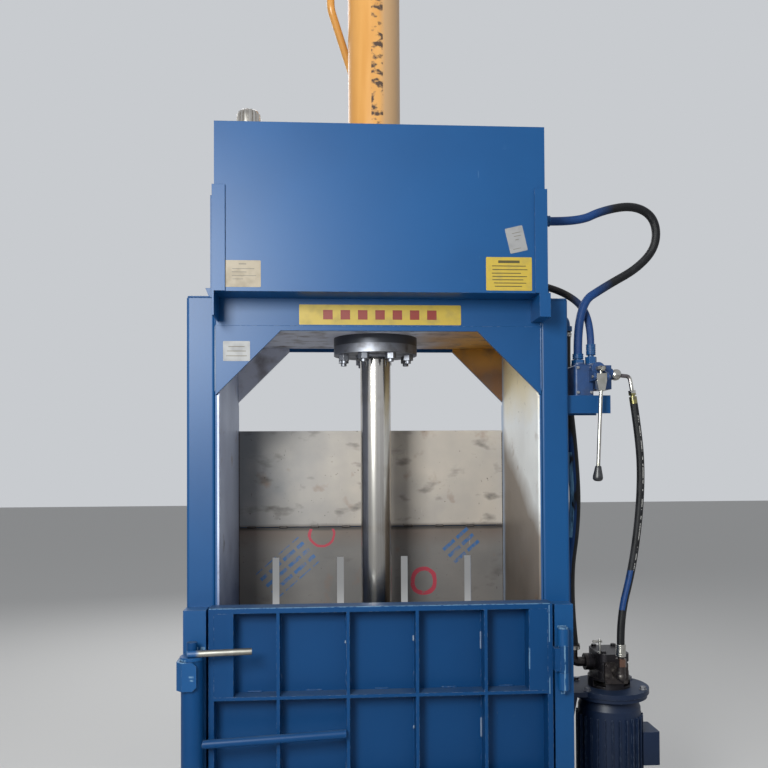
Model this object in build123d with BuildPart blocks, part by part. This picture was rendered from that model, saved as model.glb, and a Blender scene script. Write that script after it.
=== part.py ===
from build123d import *
import os
from math import cos, pi, radians, sin, tan

os.makedirs("parts", exist_ok=True)

# Upright hydraulic compactor for metal chips: four-post frame, ram, hinged door, oil tank and pump.
# X to the right, Y away from the front, Z up, millimetres, origin on the floor under the ram's axis.

# Frame
frame_width = 1200
post_size = 88
post_wall = 6
post_corner = 10
post_top = 1885
wall_thickness = 12
chamber_depth = 550
foot_thickness = 20
foot_reach = 90
foot_width = 128
anchor_hole = 22
anchor_spread = 474
floor_top = 140
floor_thickness = 24
beam_wall = 6
drain_hole = 16
rail_size = 60
rail_heights = (300, 760, 1220, 1680)
back_thickness = 12
back_joint = 1122
back_joint_gap = 3
back_top = 1485
slot_width = 26
slot_spacing = 242
slot_top = 1010
groove_depth = 12
rear_beam_depth = 60
rear_beam_height = 80
rear_beam_bottoms = (20, 560, 1082, 1405)
plain_fit = 0.05
floor_clearance = 0.3

# Header over the feed mouth
arch_thickness = 12
arch_opening_top = 1784
arch_gusset = 190
lining_thickness = 6
arch_top = 1799
mount_bottom = 1796
mount_thickness = 40
header_rib_spacing = 620

# Cylinder, rod and platen
barrel_diameter = 180
bore_diameter = 150
barrel_top = 3000
cap_thickness = 45
flange_diameter = 287
flange_thickness = 30
bolt_circle = 236
stud_diameter = 20
stud_count = 8
nut_size = 32
nut_height = 20
stud_reach = 10
rod_diameter = 105
piston_height = 60
piston_nut = 20
piston_rest = 2050
rod_foot_diameter = 210
rod_foot_thickness = 30
platen_rest = 600
platen_thickness = 32
platen_clearance = 10
platen_rib_low = 60
platen_rib_high = 160
platen_rib_thickness = 16
platen_rib_spread = 140

# Door
door_lap = 24
door_bottom = 134
door_top = 935
door_depth = 65
door_gap = 0.5
door_skin = 8
door_edge = 16
door_rib = 10
door_rib_spacing = 211
corner_box_width = 58
corner_box_skin = 8
lock_pad_width = 68
hinge_pad_width = 58
hinge_pad_inset = 10
pad_depth = 60
pad_top = 930
pad_wall = 6
hinge_inset = 47
hinge_forward = 80
knuckle_diameter = 34
pin_diameter = 20
hinge_down = 163
hinge_up = 150.5
door_knuckle_length = 80
frame_knuckle_length = 52
knuckle_gap = 0.5
pin_head = 28
pin_head_height = 5
pin_tip_length = 12
arm_height = 70

# Door lock
lock_inset = 33
lock_forward = 100
lock_tube_diameter = 64
lock_tube_wall = 6
lock_bottom = 150
lock_length = 644
lock_pivot_diameter = 30
lock_pivot_reach = 51
lock_bearing_thickness = 10
lock_bearing_diameter = 70
latch_lean = 7
latch_diameter = 20
latch_stub = 12
latch_length = 186
lever_diameter = 26
lever_level = 543
lever_length = 426
lever_lean = 2.4
lever_rise = 2.0

# Oil tank
tank_width = 1000
tank_height = 510
tank_depth = 260
tank_overhang = 110
tank_wall = 5
bracket_wall = 6
bracket_flange = 20
bracket_leg = 39
bracket_knee = 34
bracket_bottom = 1812
bracket_top = 2203
breather_inset = 91
neck_diameter = 56
neck_height = 14
breather_diameter = 78
breather_height = 68
cover_length = 320
cover_width = 150
suction_block = 50
suction_block_height = 45
suction_block_inset = 60

# Hand valve on its shelf
shelf_reach = 146
shelf_setback = 30
shelf_depth = 150
shelf_top = 1583
shelf_height = 58
shelf_wall = 6
valve_gap = 32
valve_width = 128
valve_block_width = 62
valve_block_step = 20
valve_block_lift = 22
valve_setback = 5
valve_depth = 112
valve_height = 100
spool_offset = 70
spool_rise = 84
spool_diameter = 16
lever_pivot_rise = 57
lever_pivot_reach = 45
valve_ball = 16
valve_lever_length = 292
valve_lever_diameter = 12
valve_lever_tilt = 2.7
knob_length = 46

# Power unit at the right side
motor_offset = 186
motor_y = -80
bracket_plate_bottom = 592
bracket_plate_thickness = 16
bracket_depth = 190
bracket_rise = 40
table_diameter = 262
table_neck = 170
motor_diameter = 222
motor_length = 360
motor_bore = 150
motor_flange = 250
motor_flange_thickness = 14
shaft_diameter = 38
pump_width = 104
pump_depth = 140
pump_bottom = 642
pump_top = 727
cowl_length = 88
fan_diameter = 190

# Hoses
return_hose_diameter = 28
cylinder_hose_diameter = 24
pressure_hose_diameter = 25
pressure_hose_lean = 8
suction_hose_diameter = 38
oil_pipe_diameter = 27
suction_pipe_diameter = 32
suction_drop_height = 24
suction_y = -70

# Places worked out from the sizes above
chamber_half = frame_width / 2 - post_size - wall_thickness
wall_outer = chamber_half + wall_thickness
frame_half = frame_width / 2
post_x = frame_half - post_size / 2
front_y = -chamber_depth / 2
back_y = chamber_depth / 2
rear_y = back_y + back_thickness
front_post_y = front_y + post_size / 2
rear_post_y = rear_y - post_size / 2
arch_back = front_y + arch_thickness
arch_side = arch_opening_top - arch_gusset - wall_thickness
floor_bottom = floor_top - floor_thickness
mount_top = mount_bottom + mount_thickness
flange_bottom = mount_bottom - flange_thickness
gland_bottom = flange_bottom - flange_thickness
slot_places = [(i - 1.5) * slot_spacing for i in range(4)]
door_back = front_y - door_gap
door_front = door_back - door_depth
door_half = chamber_half + door_lap
door_width = 2 * door_half
pad_front = front_y - pad_depth
lock_pad_x = lock_pad_width / 2 - frame_half
hinge_pad_x = frame_half - hinge_pad_inset - hinge_pad_width / 2
hinge_x = frame_half - hinge_inset
hinge_y = front_y - hinge_forward
hinge_levels = (pad_top - hinge_down, door_bottom + hinge_up)
lock_x = lock_inset - frame_half
lock_y = front_y - lock_forward
lock_top = lock_bottom + lock_length
lock_pivot_top = lock_top + lock_pivot_reach
latch_level = lock_top + lock_bearing_thickness + 2 * floor_clearance + latch_diameter / 2
shelf_end = frame_half + shelf_reach
shelf_front = front_y + shelf_setback
valve_left = frame_half + valve_gap
valve_right = valve_left + valve_width
valve_front = shelf_front + valve_setback
spool_x = valve_left + spool_offset
spool_level = shelf_top + spool_rise
lever_pivot_level = shelf_top + lever_pivot_rise
lever_pivot_y = valve_front - lever_pivot_reach
motor_x = frame_half + motor_offset
tank_half = tank_width / 2
tank_bottom = post_top
tank_top = tank_bottom + tank_height
tank_front = front_y - tank_overhang
tank_back = tank_front + tank_depth
tank_y = (tank_front + tank_back) / 2
breather_x = breather_inset - tank_half
breather_y = tank_y
suction_level = post_top - suction_drop_height


def front_plane(y):
    """Upright plane at depth y, whose extrusions grow towards the front."""
    return Plane.XZ.offset(-y)


def side_plane(x):
    """Upright plane at width x, whose extrusions grow to the right."""
    return Plane.YZ.offset(x)


def hollow_section(width, height, wall, corner):
    """Cross-section of a square tube with rounded corners, in the open sketch."""
    RectangleRounded(width, height, corner)
    RectangleRounded(width - 2 * wall, height - 2 * wall, corner - wall / 2, mode=Mode.SUBTRACT)


# Posts of square tube, closed on top
with BuildPart() as front_posts:
    with BuildSketch(Plane.XY.offset(foot_thickness)):
        with Locations((-post_x, front_post_y), (post_x, front_post_y)):
            hollow_section(post_size, post_size, post_wall, post_corner)
    extrude(amount=post_top - foot_thickness)
    with BuildSketch(Plane.XY.offset(post_top - post_wall)):
        with Locations((-post_x, front_post_y), (post_x, front_post_y)):
            RectangleRounded(post_size, post_size, post_corner)
    extrude(amount=post_wall)
front_posts.part.label = "front_posts"
export_step(front_posts.part, "parts/front_posts.step")

with BuildPart() as rear_posts:
    with BuildSketch(Plane.XY.offset(foot_thickness)):
        with Locations((-post_x, rear_post_y), (post_x, rear_post_y)):
            hollow_section(post_size, post_size, post_wall, post_corner)
    extrude(amount=post_top - foot_thickness)
    with BuildSketch(Plane.XY.offset(post_top - post_wall)):
        with Locations((-post_x, rear_post_y), (post_x, rear_post_y)):
            RectangleRounded(post_size, post_size, post_corner)
    extrude(amount=post_wall)
rear_posts.part.label = "rear_posts"
export_step(rear_posts.part, "parts/rear_posts.step")

# Foot plates reach out past the posts for their anchor holes
foot_x = frame_half - post_size / 2 + foot_reach / 2
anchor_x = frame_half + foot_reach / 2
with BuildPart() as foot_plates:
    with BuildSketch():
        for side in (-1, 1):
            with Locations((side * foot_x, front_post_y), (side * foot_x, rear_post_y)):
                Rectangle(post_size + foot_reach, foot_width)
            with Locations((side * anchor_x, -anchor_spread / 2), (side * anchor_x, anchor_spread / 2)):
                Circle(anchor_hole / 2, mode=Mode.SUBTRACT)
    extrude(amount=foot_thickness)
foot_plates.part.label = "foot_plates"
export_step(foot_plates.part, "parts/foot_plates.step")

# Side walls of bare plate, stepped back behind the arch plates
wall_outline = [
    (front_y, foot_thickness),
    (rear_y, foot_thickness),
    (rear_y, arch_side),
    (back_y, arch_side),
    (back_y, post_top),
    (arch_back, post_top),
    (arch_back, arch_side),
    (front_y, arch_side),
]
with BuildPart() as left_side_wall:
    with BuildSketch(side_plane(-wall_outer)):
        Polygon(*wall_outline, align=None)
    extrude(amount=wall_thickness)
left_side_wall.part.label = "left_side_wall"
export_step(left_side_wall.part, "parts/left_side_wall.step")

with BuildPart() as right_side_wall:
    with BuildSketch(side_plane(chamber_half)):
        Polygon(*wall_outline, align=None)
        with Locations((suction_y, suction_level)):
            Circle(suction_pipe_diameter / 2 + 5, mode=Mode.SUBTRACT)
    extrude(amount=wall_thickness)
right_side_wall.part.label = "right_side_wall"
export_step(right_side_wall.part, "parts/right_side_wall.step")

# Side rails stiffen the walls between the posts
rail_front = front_y + post_size
rail_back = rear_y - post_size
with BuildPart() as side_rails:
    with BuildSketch(front_plane(rail_back)):
        for side in (-1, 1):
            for height in rail_heights:
                with Locations((side * (wall_outer + rail_size / 2), height)):
                    hollow_section(rail_size, rail_size, beam_wall, beam_wall)
    extrude(amount=rail_back - rail_front)
side_rails.part.label = "side_rails"
export_step(side_rails.part, "parts/side_rails.step")

# Base beams under the chamber floor, with a drain hole in each joist
beam_height = floor_bottom - foot_thickness
beam_level = foot_thickness + beam_height / 2
joist_height = beam_height - 20
with BuildPart() as base_beams:
    with BuildSketch(side_plane(-chamber_half)):
        with Locations((front_post_y, beam_level), (back_y - post_size / 2, beam_level)):
            hollow_section(post_size, beam_height, beam_wall, beam_wall)
    extrude(amount=2 * chamber_half)
    with BuildSketch(front_plane(back_y - post_size)):
        with Locations((-slot_spacing, beam_level), (slot_spacing, beam_level)):
            hollow_section(post_size, joist_height, beam_wall, beam_wall)
    extrude(amount=chamber_depth - 2 * post_size)
    with BuildSketch(Plane.XY.offset(beam_level - joist_height / 2 - 1)):
        with Locations((-slot_spacing, 0), (slot_spacing, 0)):
            Circle(drain_hole / 2)
    extrude(amount=beam_wall + 2, mode=Mode.SUBTRACT)
base_beams.part.label = "base_beams"
export_step(base_beams.part, "parts/base_beams.step")

# Chamber floor with a groove for each strap
with BuildPart() as chamber_floor:
    with BuildSketch(front_plane(back_y)):
        with Locations((0, floor_top - floor_thickness / 2)):
            Rectangle(2 * chamber_half, floor_thickness)
        with Locations(*[(x, floor_top - groove_depth / 2) for x in slot_places]):
            Rectangle(slot_width, groove_depth, mode=Mode.SUBTRACT)
    extrude(amount=chamber_depth)
chamber_floor.part.label = "chamber_floor"
export_step(chamber_floor.part, "parts/chamber_floor.step")

# Back wall in two sheets with a joint between them, slots only in the lower one
groove_bottom = floor_top - groove_depth
with BuildPart() as back_plate_lower:
    with BuildSketch(front_plane(rear_y)):
        with Locations((0, (foot_thickness + back_joint) / 2)):
            Rectangle(2 * chamber_half, back_joint - foot_thickness)
        with Locations(*[(x, (groove_bottom + slot_top) / 2) for x in slot_places]):
            Rectangle(slot_width, slot_top - groove_bottom, mode=Mode.SUBTRACT)
    extrude(amount=back_thickness)
back_plate_lower.part.label = "back_plate_lower"
export_step(back_plate_lower.part, "parts/back_plate_lower.step")

upper_bottom = back_joint + back_joint_gap
with BuildPart() as back_plate_upper:
    with BuildSketch(front_plane(rear_y)):
        with Locations((0, (upper_bottom + back_top) / 2)):
            Rectangle(2 * chamber_half, back_top - upper_bottom)
    extrude(amount=back_thickness)
back_plate_upper.part.label = "back_plate_upper"
export_step(back_plate_upper.part, "parts/back_plate_upper.step")

# Cross beams behind the back wall, welded to the rear posts
with BuildPart() as rear_beams:
    with BuildSketch(side_plane(-frame_half)):
        for bottom in rear_beam_bottoms:
            with Locations((rear_y + rear_beam_depth / 2, bottom + rear_beam_height / 2)):
                hollow_section(rear_beam_depth, rear_beam_height, beam_wall, beam_wall)
    extrude(amount=frame_width)
rear_beams.part.label = "rear_beams"
export_step(rear_beams.part, "parts/rear_beams.step")

# Arch plates over the mouth, front and rear, with slanted lower corners
opening_half = chamber_half - arch_gusset
arch_outline = [
    (-wall_outer, arch_side),
    (-opening_half, arch_opening_top),
    (opening_half, arch_opening_top),
    (wall_outer, arch_side),
    (wall_outer, arch_top),
    (-wall_outer, arch_top),
]
with BuildPart() as front_arch_plate:
    with BuildSketch(front_plane(arch_back)):
        Polygon(*arch_outline, align=None)
    extrude(amount=arch_thickness)
front_arch_plate.part.label = "front_arch_plate"
export_step(front_arch_plate.part, "parts/front_arch_plate.step")

with BuildPart() as rear_arch_plate:
    with BuildSketch(front_plane(rear_y)):
        Polygon(*arch_outline, align=None)
    extrude(amount=back_thickness)
rear_arch_plate.part.label = "rear_arch_plate"
export_step(rear_arch_plate.part, "parts/rear_arch_plate.step")

# Facing plates cover the corners of the rear arch, up to the ceiling of the chamber
gusset_foot = arch_opening_top - arch_gusset
with BuildPart() as arch_linings:
    with BuildSketch(front_plane(back_y)):
        for side in (-1, 1):
            Polygon(
                (side * chamber_half, gusset_foot),
                (side * opening_half, arch_opening_top),
                (side * opening_half, mount_bottom),
                (side * chamber_half, mount_bottom),
                align=None,
            )
    extrude(amount=lining_thickness)
arch_linings.part.label = "arch_linings"
export_step(arch_linings.part, "parts/arch_linings.step")

# Header plates above the arches, with two ribs between them on the mount plate
header_height = post_top - arch_top
with BuildPart() as header_plates:
    with BuildSketch(front_plane(arch_back)):
        with Locations((0, arch_top + header_height / 2)):
            Rectangle(2 * wall_outer, header_height)
    extrude(amount=arch_thickness)
    with BuildSketch(front_plane(rear_y)):
        with Locations((0, arch_top + header_height / 2)):
            Rectangle(2 * wall_outer, header_height)
    extrude(amount=back_thickness)
    with BuildSketch(front_plane(back_y)):
        with Locations(
            (-header_rib_spacing / 2, (mount_top + post_top) / 2),
            (header_rib_spacing / 2, (mount_top + post_top) / 2),
        ):
            Rectangle(wall_thickness, post_top - mount_top)
    extrude(amount=back_y - arch_back)
header_plates.part.label = "header_plates"
export_step(header_plates.part, "parts/header_plates.step")

# Thick plate that carries the cylinder
mount_depth = back_y - arch_back
mount_y = (back_y + arch_back) / 2
with BuildPart() as cylinder_mount_plate:
    with BuildSketch(Plane.XY.offset(mount_bottom)):
        with Locations((0, mount_y)):
            Rectangle(2 * chamber_half, mount_depth)
        Circle(barrel_diameter / 2 + 0.5, mode=Mode.SUBTRACT)
        with PolarLocations(bolt_circle / 2, stud_count, start_angle=22.5):
            Circle(stud_diameter / 2 + plain_fit, mode=Mode.SUBTRACT)
    extrude(amount=mount_thickness)
cylinder_mount_plate.part.label = "cylinder_mount_plate"
export_step(cylinder_mount_plate.part, "parts/cylinder_mount_plate.step")

# Barrel with its mounting flange under the plate
with BuildPart() as cylinder_barrel:
    with BuildSketch(Plane.XZ):
        Polygon(
            (bore_diameter / 2, flange_bottom),
            (flange_diameter / 2, flange_bottom),
            (flange_diameter / 2, mount_bottom),
            (barrel_diameter / 2, mount_bottom),
            (barrel_diameter / 2, barrel_top),
            (bore_diameter / 2, barrel_top),
            align=None,
        )
    revolve(axis=Axis.Z)
    with BuildSketch(Plane.XY.offset(flange_bottom)):
        with PolarLocations(bolt_circle / 2, stud_count, start_angle=22.5):
            Circle(stud_diameter / 2 + plain_fit)
    extrude(amount=flange_thickness, mode=Mode.SUBTRACT)
cylinder_barrel.part.label = "cylinder_barrel"
export_step(cylinder_barrel.part, "parts/cylinder_barrel.step")

# End cap, spigoted into the bore, with the upper oil port on its left
port_boss = 44
port_level = barrel_top + cap_thickness / 2
cap_diameter = barrel_diameter + 8
port_face = -(cap_diameter / 2 + 6)
with BuildPart() as cylinder_cap:
    with BuildSketch(Plane.XZ):
        Polygon(
            (0, barrel_top - 16),
            (bore_diameter / 2 - plain_fit, barrel_top - 16),
            (bore_diameter / 2 - plain_fit, barrel_top),
            (cap_diameter / 2, barrel_top),
            (cap_diameter / 2, barrel_top + cap_thickness - 6),
            (cap_diameter / 2 - 6, barrel_top + cap_thickness),
            (0, barrel_top + cap_thickness),
            align=None,
        )
    revolve(axis=Axis.Z)
    with BuildSketch(side_plane(port_face)):
        with Locations((0, port_level)):
            Circle(port_boss / 2 - 1)
    extrude(amount=-port_face)
    with BuildSketch(side_plane(port_face)):
        with Locations((0, port_level)):
            Circle(oil_pipe_diameter / 2 - 4)
    extrude(amount=60, mode=Mode.SUBTRACT)
cylinder_cap.part.label = "cylinder_cap"
export_step(cylinder_cap.part, "parts/cylinder_cap.step")

# Gland under the flange, with a spigot in the bore and a wiper lip round the rod
gland_spigot = 20
gland_bore = rod_diameter / 2 + plain_fit
with BuildPart() as cylinder_gland:
    with BuildSketch(Plane.XZ):
        Polygon(
            (gland_bore, gland_bottom - 8),
            (gland_bore + 14, gland_bottom - 8),
            (gland_bore + 18, gland_bottom),
            (flange_diameter / 2, gland_bottom),
            (flange_diameter / 2, flange_bottom),
            (bore_diameter / 2 - plain_fit, flange_bottom),
            (bore_diameter / 2 - plain_fit, flange_bottom + gland_spigot),
            (gland_bore, flange_bottom + gland_spigot),
            align=None,
        )
    revolve(axis=Axis.Z)
    with BuildSketch(Plane.XY.offset(gland_bottom)):
        with PolarLocations(bolt_circle / 2, stud_count, start_angle=22.5):
            Circle(stud_diameter / 2 + plain_fit)
    extrude(amount=flange_thickness, mode=Mode.SUBTRACT)
cylinder_gland.part.label = "cylinder_gland"
export_step(cylinder_gland.part, "parts/cylinder_gland.step")

# Eight studs with a nut at each end
stud_bottom = gland_bottom - nut_height - stud_reach
stud_top = mount_top + nut_height + stud_reach
with BuildPart() as flange_studs:
    with PolarLocations(bolt_circle / 2, stud_count, start_angle=22.5):
        with Locations((0, 0, stud_bottom)):
            Cylinder(
                stud_diameter / 2,
                stud_top - stud_bottom,
                align=(Align.CENTER, Align.CENTER, Align.MIN),
            )
    for level in (gland_bottom - nut_height, mount_top):
        with BuildSketch(Plane.XY.offset(level)):
            with PolarLocations(bolt_circle / 2, stud_count, start_angle=22.5):
                RegularPolygon(nut_size / 2, 6, major_radius=False)
        extrude(amount=nut_height)
flange_studs.part.label = "flange_studs"
export_step(flange_studs.part, "parts/flange_studs.step")

# Piston in the bore, with ring grooves
piston_top = piston_rest + piston_height
piston_radius = bore_diameter / 2 - plain_fit
neck_radius = 32
with BuildPart() as piston:
    with BuildSketch(Plane.XZ):
        with Locations(((neck_radius + piston_radius) / 2, piston_rest + piston_height / 2)):
            Rectangle(piston_radius - neck_radius, piston_height)
        for level in (piston_rest + 18, piston_top - 18):
            with Locations((piston_radius, level)):
                Rectangle(8, 10, mode=Mode.SUBTRACT)
    revolve(axis=Axis.Z)
piston.part.label = "piston"
export_step(piston.part, "parts/piston.step")

# Chrome rod, necked for the piston at the top and for the foot at the bottom
rod_bottom = platen_rest + platen_thickness + platen_rib_high
foot_top = rod_bottom + rod_foot_thickness
with BuildPart() as piston_rod:
    with BuildSketch(Plane.XZ):
        Polygon(
            (0, rod_bottom),
            (rod_diameter / 2 - 12, rod_bottom),
            (rod_diameter / 2 - 12, foot_top),
            (rod_diameter / 2, foot_top),
            (rod_diameter / 2, piston_rest),
            (neck_radius - plain_fit, piston_rest),
            (neck_radius - plain_fit, piston_top + piston_nut),
            (0, piston_top + piston_nut),
            align=None,
        )
    revolve(axis=Axis.Z)
    with BuildSketch(Plane.XY.offset(piston_top)):
        RegularPolygon(neck_radius + 12, 6, major_radius=False)
    extrude(amount=piston_nut)
piston_rod.part.label = "piston_rod"
export_step(piston_rod.part, "parts/piston_rod.step")

# Foot flange that bolts the rod to the platen
foot_bolt_circle = rod_foot_diameter - 40
with BuildPart() as rod_foot:
    with BuildSketch(Plane.XY.offset(rod_bottom)):
        Circle(rod_foot_diameter / 2)
        Circle(rod_diameter / 2 - 12 + plain_fit, mode=Mode.SUBTRACT)
    extrude(amount=rod_foot_thickness)
    chamfer(rod_foot.edges().filter_by(GeomType.CIRCLE).sort_by(SortBy.RADIUS)[-1], length=3)
    with BuildSketch(Plane.XY.offset(foot_top)):
        with PolarLocations(foot_bolt_circle / 2, 6, start_angle=30):
            RegularPolygon(11, 6, major_radius=False)
    extrude(amount=12)
rod_foot.part.label = "rod_foot"
export_step(rod_foot.part, "parts/rod_foot.step")

# Platen with a strap groove over each slot
platen_half = chamber_half - platen_clearance
platen_front = front_y + platen_clearance
platen_length = chamber_depth - 2 * platen_clearance
platen_top = platen_rest + platen_thickness
with BuildPart() as platen:
    with BuildSketch(front_plane(-platen_front)):
        with Locations((0, platen_rest + platen_thickness / 2)):
            Rectangle(2 * platen_half, platen_thickness)
        with Locations(*[(x, platen_rest + groove_depth / 2) for x in slot_places]):
            Rectangle(slot_width, groove_depth, mode=Mode.SUBTRACT)
    extrude(amount=platen_length)
platen.part.label = "platen"
export_step(platen.part, "parts/platen.step")

# Ribs on the platen, high under the rod and low at the ends
rib_high = platen_top + platen_rib_high
rib_low = platen_top + platen_rib_low
rib_half = platen_half - 20
centre_half = rod_foot_diameter / 2 + 20
hub_thickness = 24
cross_front = -platen_front - 20
with BuildPart() as platen_ribs:
    for y in (-platen_rib_spread / 2, platen_rib_spread / 2):
        with BuildSketch(front_plane(y + platen_rib_thickness / 2)):
            Polygon(
                (-rib_half, platen_top),
                (rib_half, platen_top),
                (rib_half, rib_low),
                (centre_half, rib_high),
                (-centre_half, rib_high),
                (-rib_half, rib_low),
                align=None,
            )
        extrude(amount=platen_rib_thickness)
    for x in (-centre_half, centre_half):
        with BuildSketch(side_plane(x - platen_rib_thickness / 2)):
            Polygon(
                (-cross_front, platen_top),
                (cross_front, platen_top),
                (cross_front, rib_low),
                (centre_half, rib_high),
                (-centre_half, rib_high),
                (-cross_front, rib_low),
                align=None,
            )
        extrude(amount=platen_rib_thickness)
    for x in (-rib_half + platen_rib_thickness / 2, rib_half - platen_rib_thickness / 2):
        with BuildSketch(side_plane(x - platen_rib_thickness / 2)):
            with Locations((0, (platen_top + rib_low) / 2)):
                Rectangle(2 * cross_front, rib_low - platen_top)
        extrude(amount=platen_rib_thickness)
    with BuildSketch(Plane.XY.offset(rib_high - hub_thickness)):
        Rectangle(2 * centre_half + platen_rib_thickness, 2 * centre_half)
    extrude(amount=hub_thickness)
platen_ribs.part.label = "platen_ribs"
export_step(platen_ribs.part, "parts/platen_ribs.step")

# Door skin
door_height = door_top - door_bottom
door_middle = (door_top + door_bottom) / 2
with BuildPart() as door_panel:
    with BuildSketch(front_plane(door_back)):
        with Locations((0, door_middle)):
            Rectangle(door_width, door_height)
    extrude(amount=door_skin)
door_panel.part.label = "door_panel"
export_step(door_panel.part, "parts/door_panel.step")

# Rib grid with its edge flange, in front of the skin
row_height = (door_height - 2 * door_edge - 2 * door_rib) / 3
row_pitch = row_height + door_rib
first_row = door_bottom + door_edge + row_height / 2
rib_columns = [(i - 1.5) * door_rib_spacing for i in range(4)]
column_edges = [-door_half + door_edge] + rib_columns + [door_half - door_edge]
with BuildPart() as door_ribs:
    with BuildSketch(front_plane(door_back - door_skin)):
        with Locations((0, door_middle)):
            Rectangle(door_width, door_height)
        for i in range(5):
            left = column_edges[i] + (door_rib / 2 if i > 0 else 0)
            right = column_edges[i + 1] - (door_rib / 2 if i < 4 else 0)
            for row in range(3):
                with Locations(((left + right) / 2, first_row + row * row_pitch)):
                    Rectangle(right - left, row_height, mode=Mode.SUBTRACT)
    extrude(amount=door_depth - door_skin)
door_ribs.part.label = "door_ribs"
export_step(door_ribs.part, "parts/door_ribs.step")

# Corner boxes that stiffen the upper row at both edges of the door
box_bottom = first_row + 2 * row_pitch - row_height / 2
box_outer = door_half - door_edge
box_inner = box_outer - corner_box_width
web_depth = door_depth - door_skin
with BuildPart() as door_corner_boxes:
    with BuildSketch(Plane.XY.offset(box_bottom)):
        for side in (-1, 1):
            Polygon(
                (side * box_outer, door_front),
                (side * box_inner, door_front),
                (side * box_inner, door_front + web_depth),
                (side * (box_inner + corner_box_skin), door_front + web_depth),
                (side * (box_inner + corner_box_skin), door_front + corner_box_skin),
                (side * box_outer, door_front + corner_box_skin),
                align=None,
            )
    extrude(amount=row_height)
door_corner_boxes.part.label = "door_corner_boxes"
export_step(door_corner_boxes.part, "parts/door_corner_boxes.step")

# Pads beside the door on the posts, closed on top, wider on the lock's side
pad_y = front_y - pad_depth / 2
pads = ((lock_pad_x, lock_pad_width), (hinge_pad_x, hinge_pad_width))
with BuildPart() as door_pads:
    with BuildSketch(Plane.XY.offset(foot_thickness)):
        for x, width in pads:
            with Locations((x, pad_y)):
                Rectangle(width, pad_depth)
                Rectangle(width - 2 * pad_wall, pad_depth - 2 * pad_wall, mode=Mode.SUBTRACT)
    extrude(amount=pad_top - foot_thickness)
    with BuildSketch(Plane.XY.offset(pad_top - pad_wall)):
        for x, width in pads:
            with Locations((x, pad_y)):
                Rectangle(width, pad_depth)
    extrude(amount=pad_wall)
door_pads.part.label = "door_pads"
export_step(door_pads.part, "parts/door_pads.step")

# Hinge knuckles of the frame, two to a hinge, each with a lug to the pad
knuckle_bore = pin_diameter / 2 + plain_fit
lug_width = 24
half_door_knuckle = door_knuckle_length / 2
with BuildPart() as frame_knuckles:
    for level in hinge_levels:
        for bottom in (
            level + half_door_knuckle + knuckle_gap,
            level - half_door_knuckle - knuckle_gap - frame_knuckle_length,
        ):
            with BuildSketch(Plane.XY.offset(bottom)):
                with Locations((hinge_x, hinge_y)):
                    Circle(knuckle_diameter / 2)
                with Locations((hinge_x, (hinge_y + pad_front) / 2)):
                    Rectangle(lug_width, pad_front - hinge_y)
                with Locations((hinge_x, hinge_y)):
                    Circle(knuckle_bore, mode=Mode.SUBTRACT)
            extrude(amount=frame_knuckle_length)
frame_knuckles.part.label = "frame_knuckles"
export_step(frame_knuckles.part, "parts/frame_knuckles.step")

# Headed hinge pins with a pointed end
pin_seat = half_door_knuckle + knuckle_gap + frame_knuckle_length
pin_tip = pin_seat + pin_tip_length
with BuildPart() as hinge_pins:
    for level in hinge_levels:
        with BuildSketch(Plane(origin=(hinge_x, hinge_y, level), x_dir=(1, 0, 0), z_dir=(0, -1, 0))):
            Polygon(
                (0, -pin_tip),
                (pin_diameter / 2 - 6, -pin_tip),
                (pin_diameter / 2, -pin_tip + 10),
                (pin_diameter / 2, pin_seat),
                (pin_head / 2, pin_seat),
                (pin_head / 2, pin_seat + pin_head_height),
                (0, pin_seat + pin_head_height),
                align=None,
            )
        revolve(axis=Axis((hinge_x, hinge_y, level), (0, 0, 1)))
hinge_pins.part.label = "hinge_pins"
export_step(hinge_pins.part, "parts/hinge_pins.step")

# Door knuckles on bent arms from the edge flange
arm_thickness = 7
arm_front = hinge_y - 12
arm_root = door_half + arm_thickness
with BuildPart() as door_knuckles:
    for level in hinge_levels:
        with BuildSketch(Plane.XY.offset(level - arm_height / 2)):
            Polygon(
                (door_half, arm_front),
                (hinge_x, arm_front),
                (hinge_x, hinge_y + 12),
                (arm_root, hinge_y + 12),
                (arm_root, front_y - 20),
                (door_half, front_y - 20),
                align=None,
            )
        extrude(amount=arm_height)
        with BuildSketch(Plane.XY.offset(level - half_door_knuckle)):
            with Locations((hinge_x, hinge_y)):
                Circle(knuckle_diameter / 2)
        extrude(amount=door_knuckle_length)
        with BuildSketch(Plane.XY.offset(level - half_door_knuckle)):
            with Locations((hinge_x, hinge_y)):
                Circle(knuckle_bore)
        extrude(amount=door_knuckle_length, mode=Mode.SUBTRACT)
door_knuckles.part.label = "door_knuckles"
export_step(door_knuckles.part, "parts/door_knuckles.step")

# Lock tube with an end plug and a pivot at each end
pivot_radius = lock_pivot_diameter / 2
tube_radius = lock_tube_diameter / 2
plug_height = 14
bearing_bottom = lock_bottom - floor_clearance - lock_bearing_thickness
with BuildPart() as lock_tube:
    with BuildSketch(Plane(origin=(lock_x, lock_y, 0), x_dir=(1, 0, 0), z_dir=(0, -1, 0))):
        Polygon(
            (0, bearing_bottom - 6),
            (pivot_radius, bearing_bottom - 6),
            (pivot_radius, lock_bottom),
            (tube_radius, lock_bottom),
            (tube_radius, lock_top),
            (pivot_radius, lock_top),
            (pivot_radius, lock_pivot_top),
            (0, lock_pivot_top),
            (0, lock_top - plug_height),
            (tube_radius - lock_tube_wall, lock_top - plug_height),
            (tube_radius - lock_tube_wall, lock_bottom + plug_height),
            (0, lock_bottom + plug_height),
            align=None,
        )
    revolve(axis=Axis((lock_x, lock_y, 0), (0, 0, 1)))
lock_tube.part.label = "lock_tube"
export_step(lock_tube.part, "parts/lock_tube.step")

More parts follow.
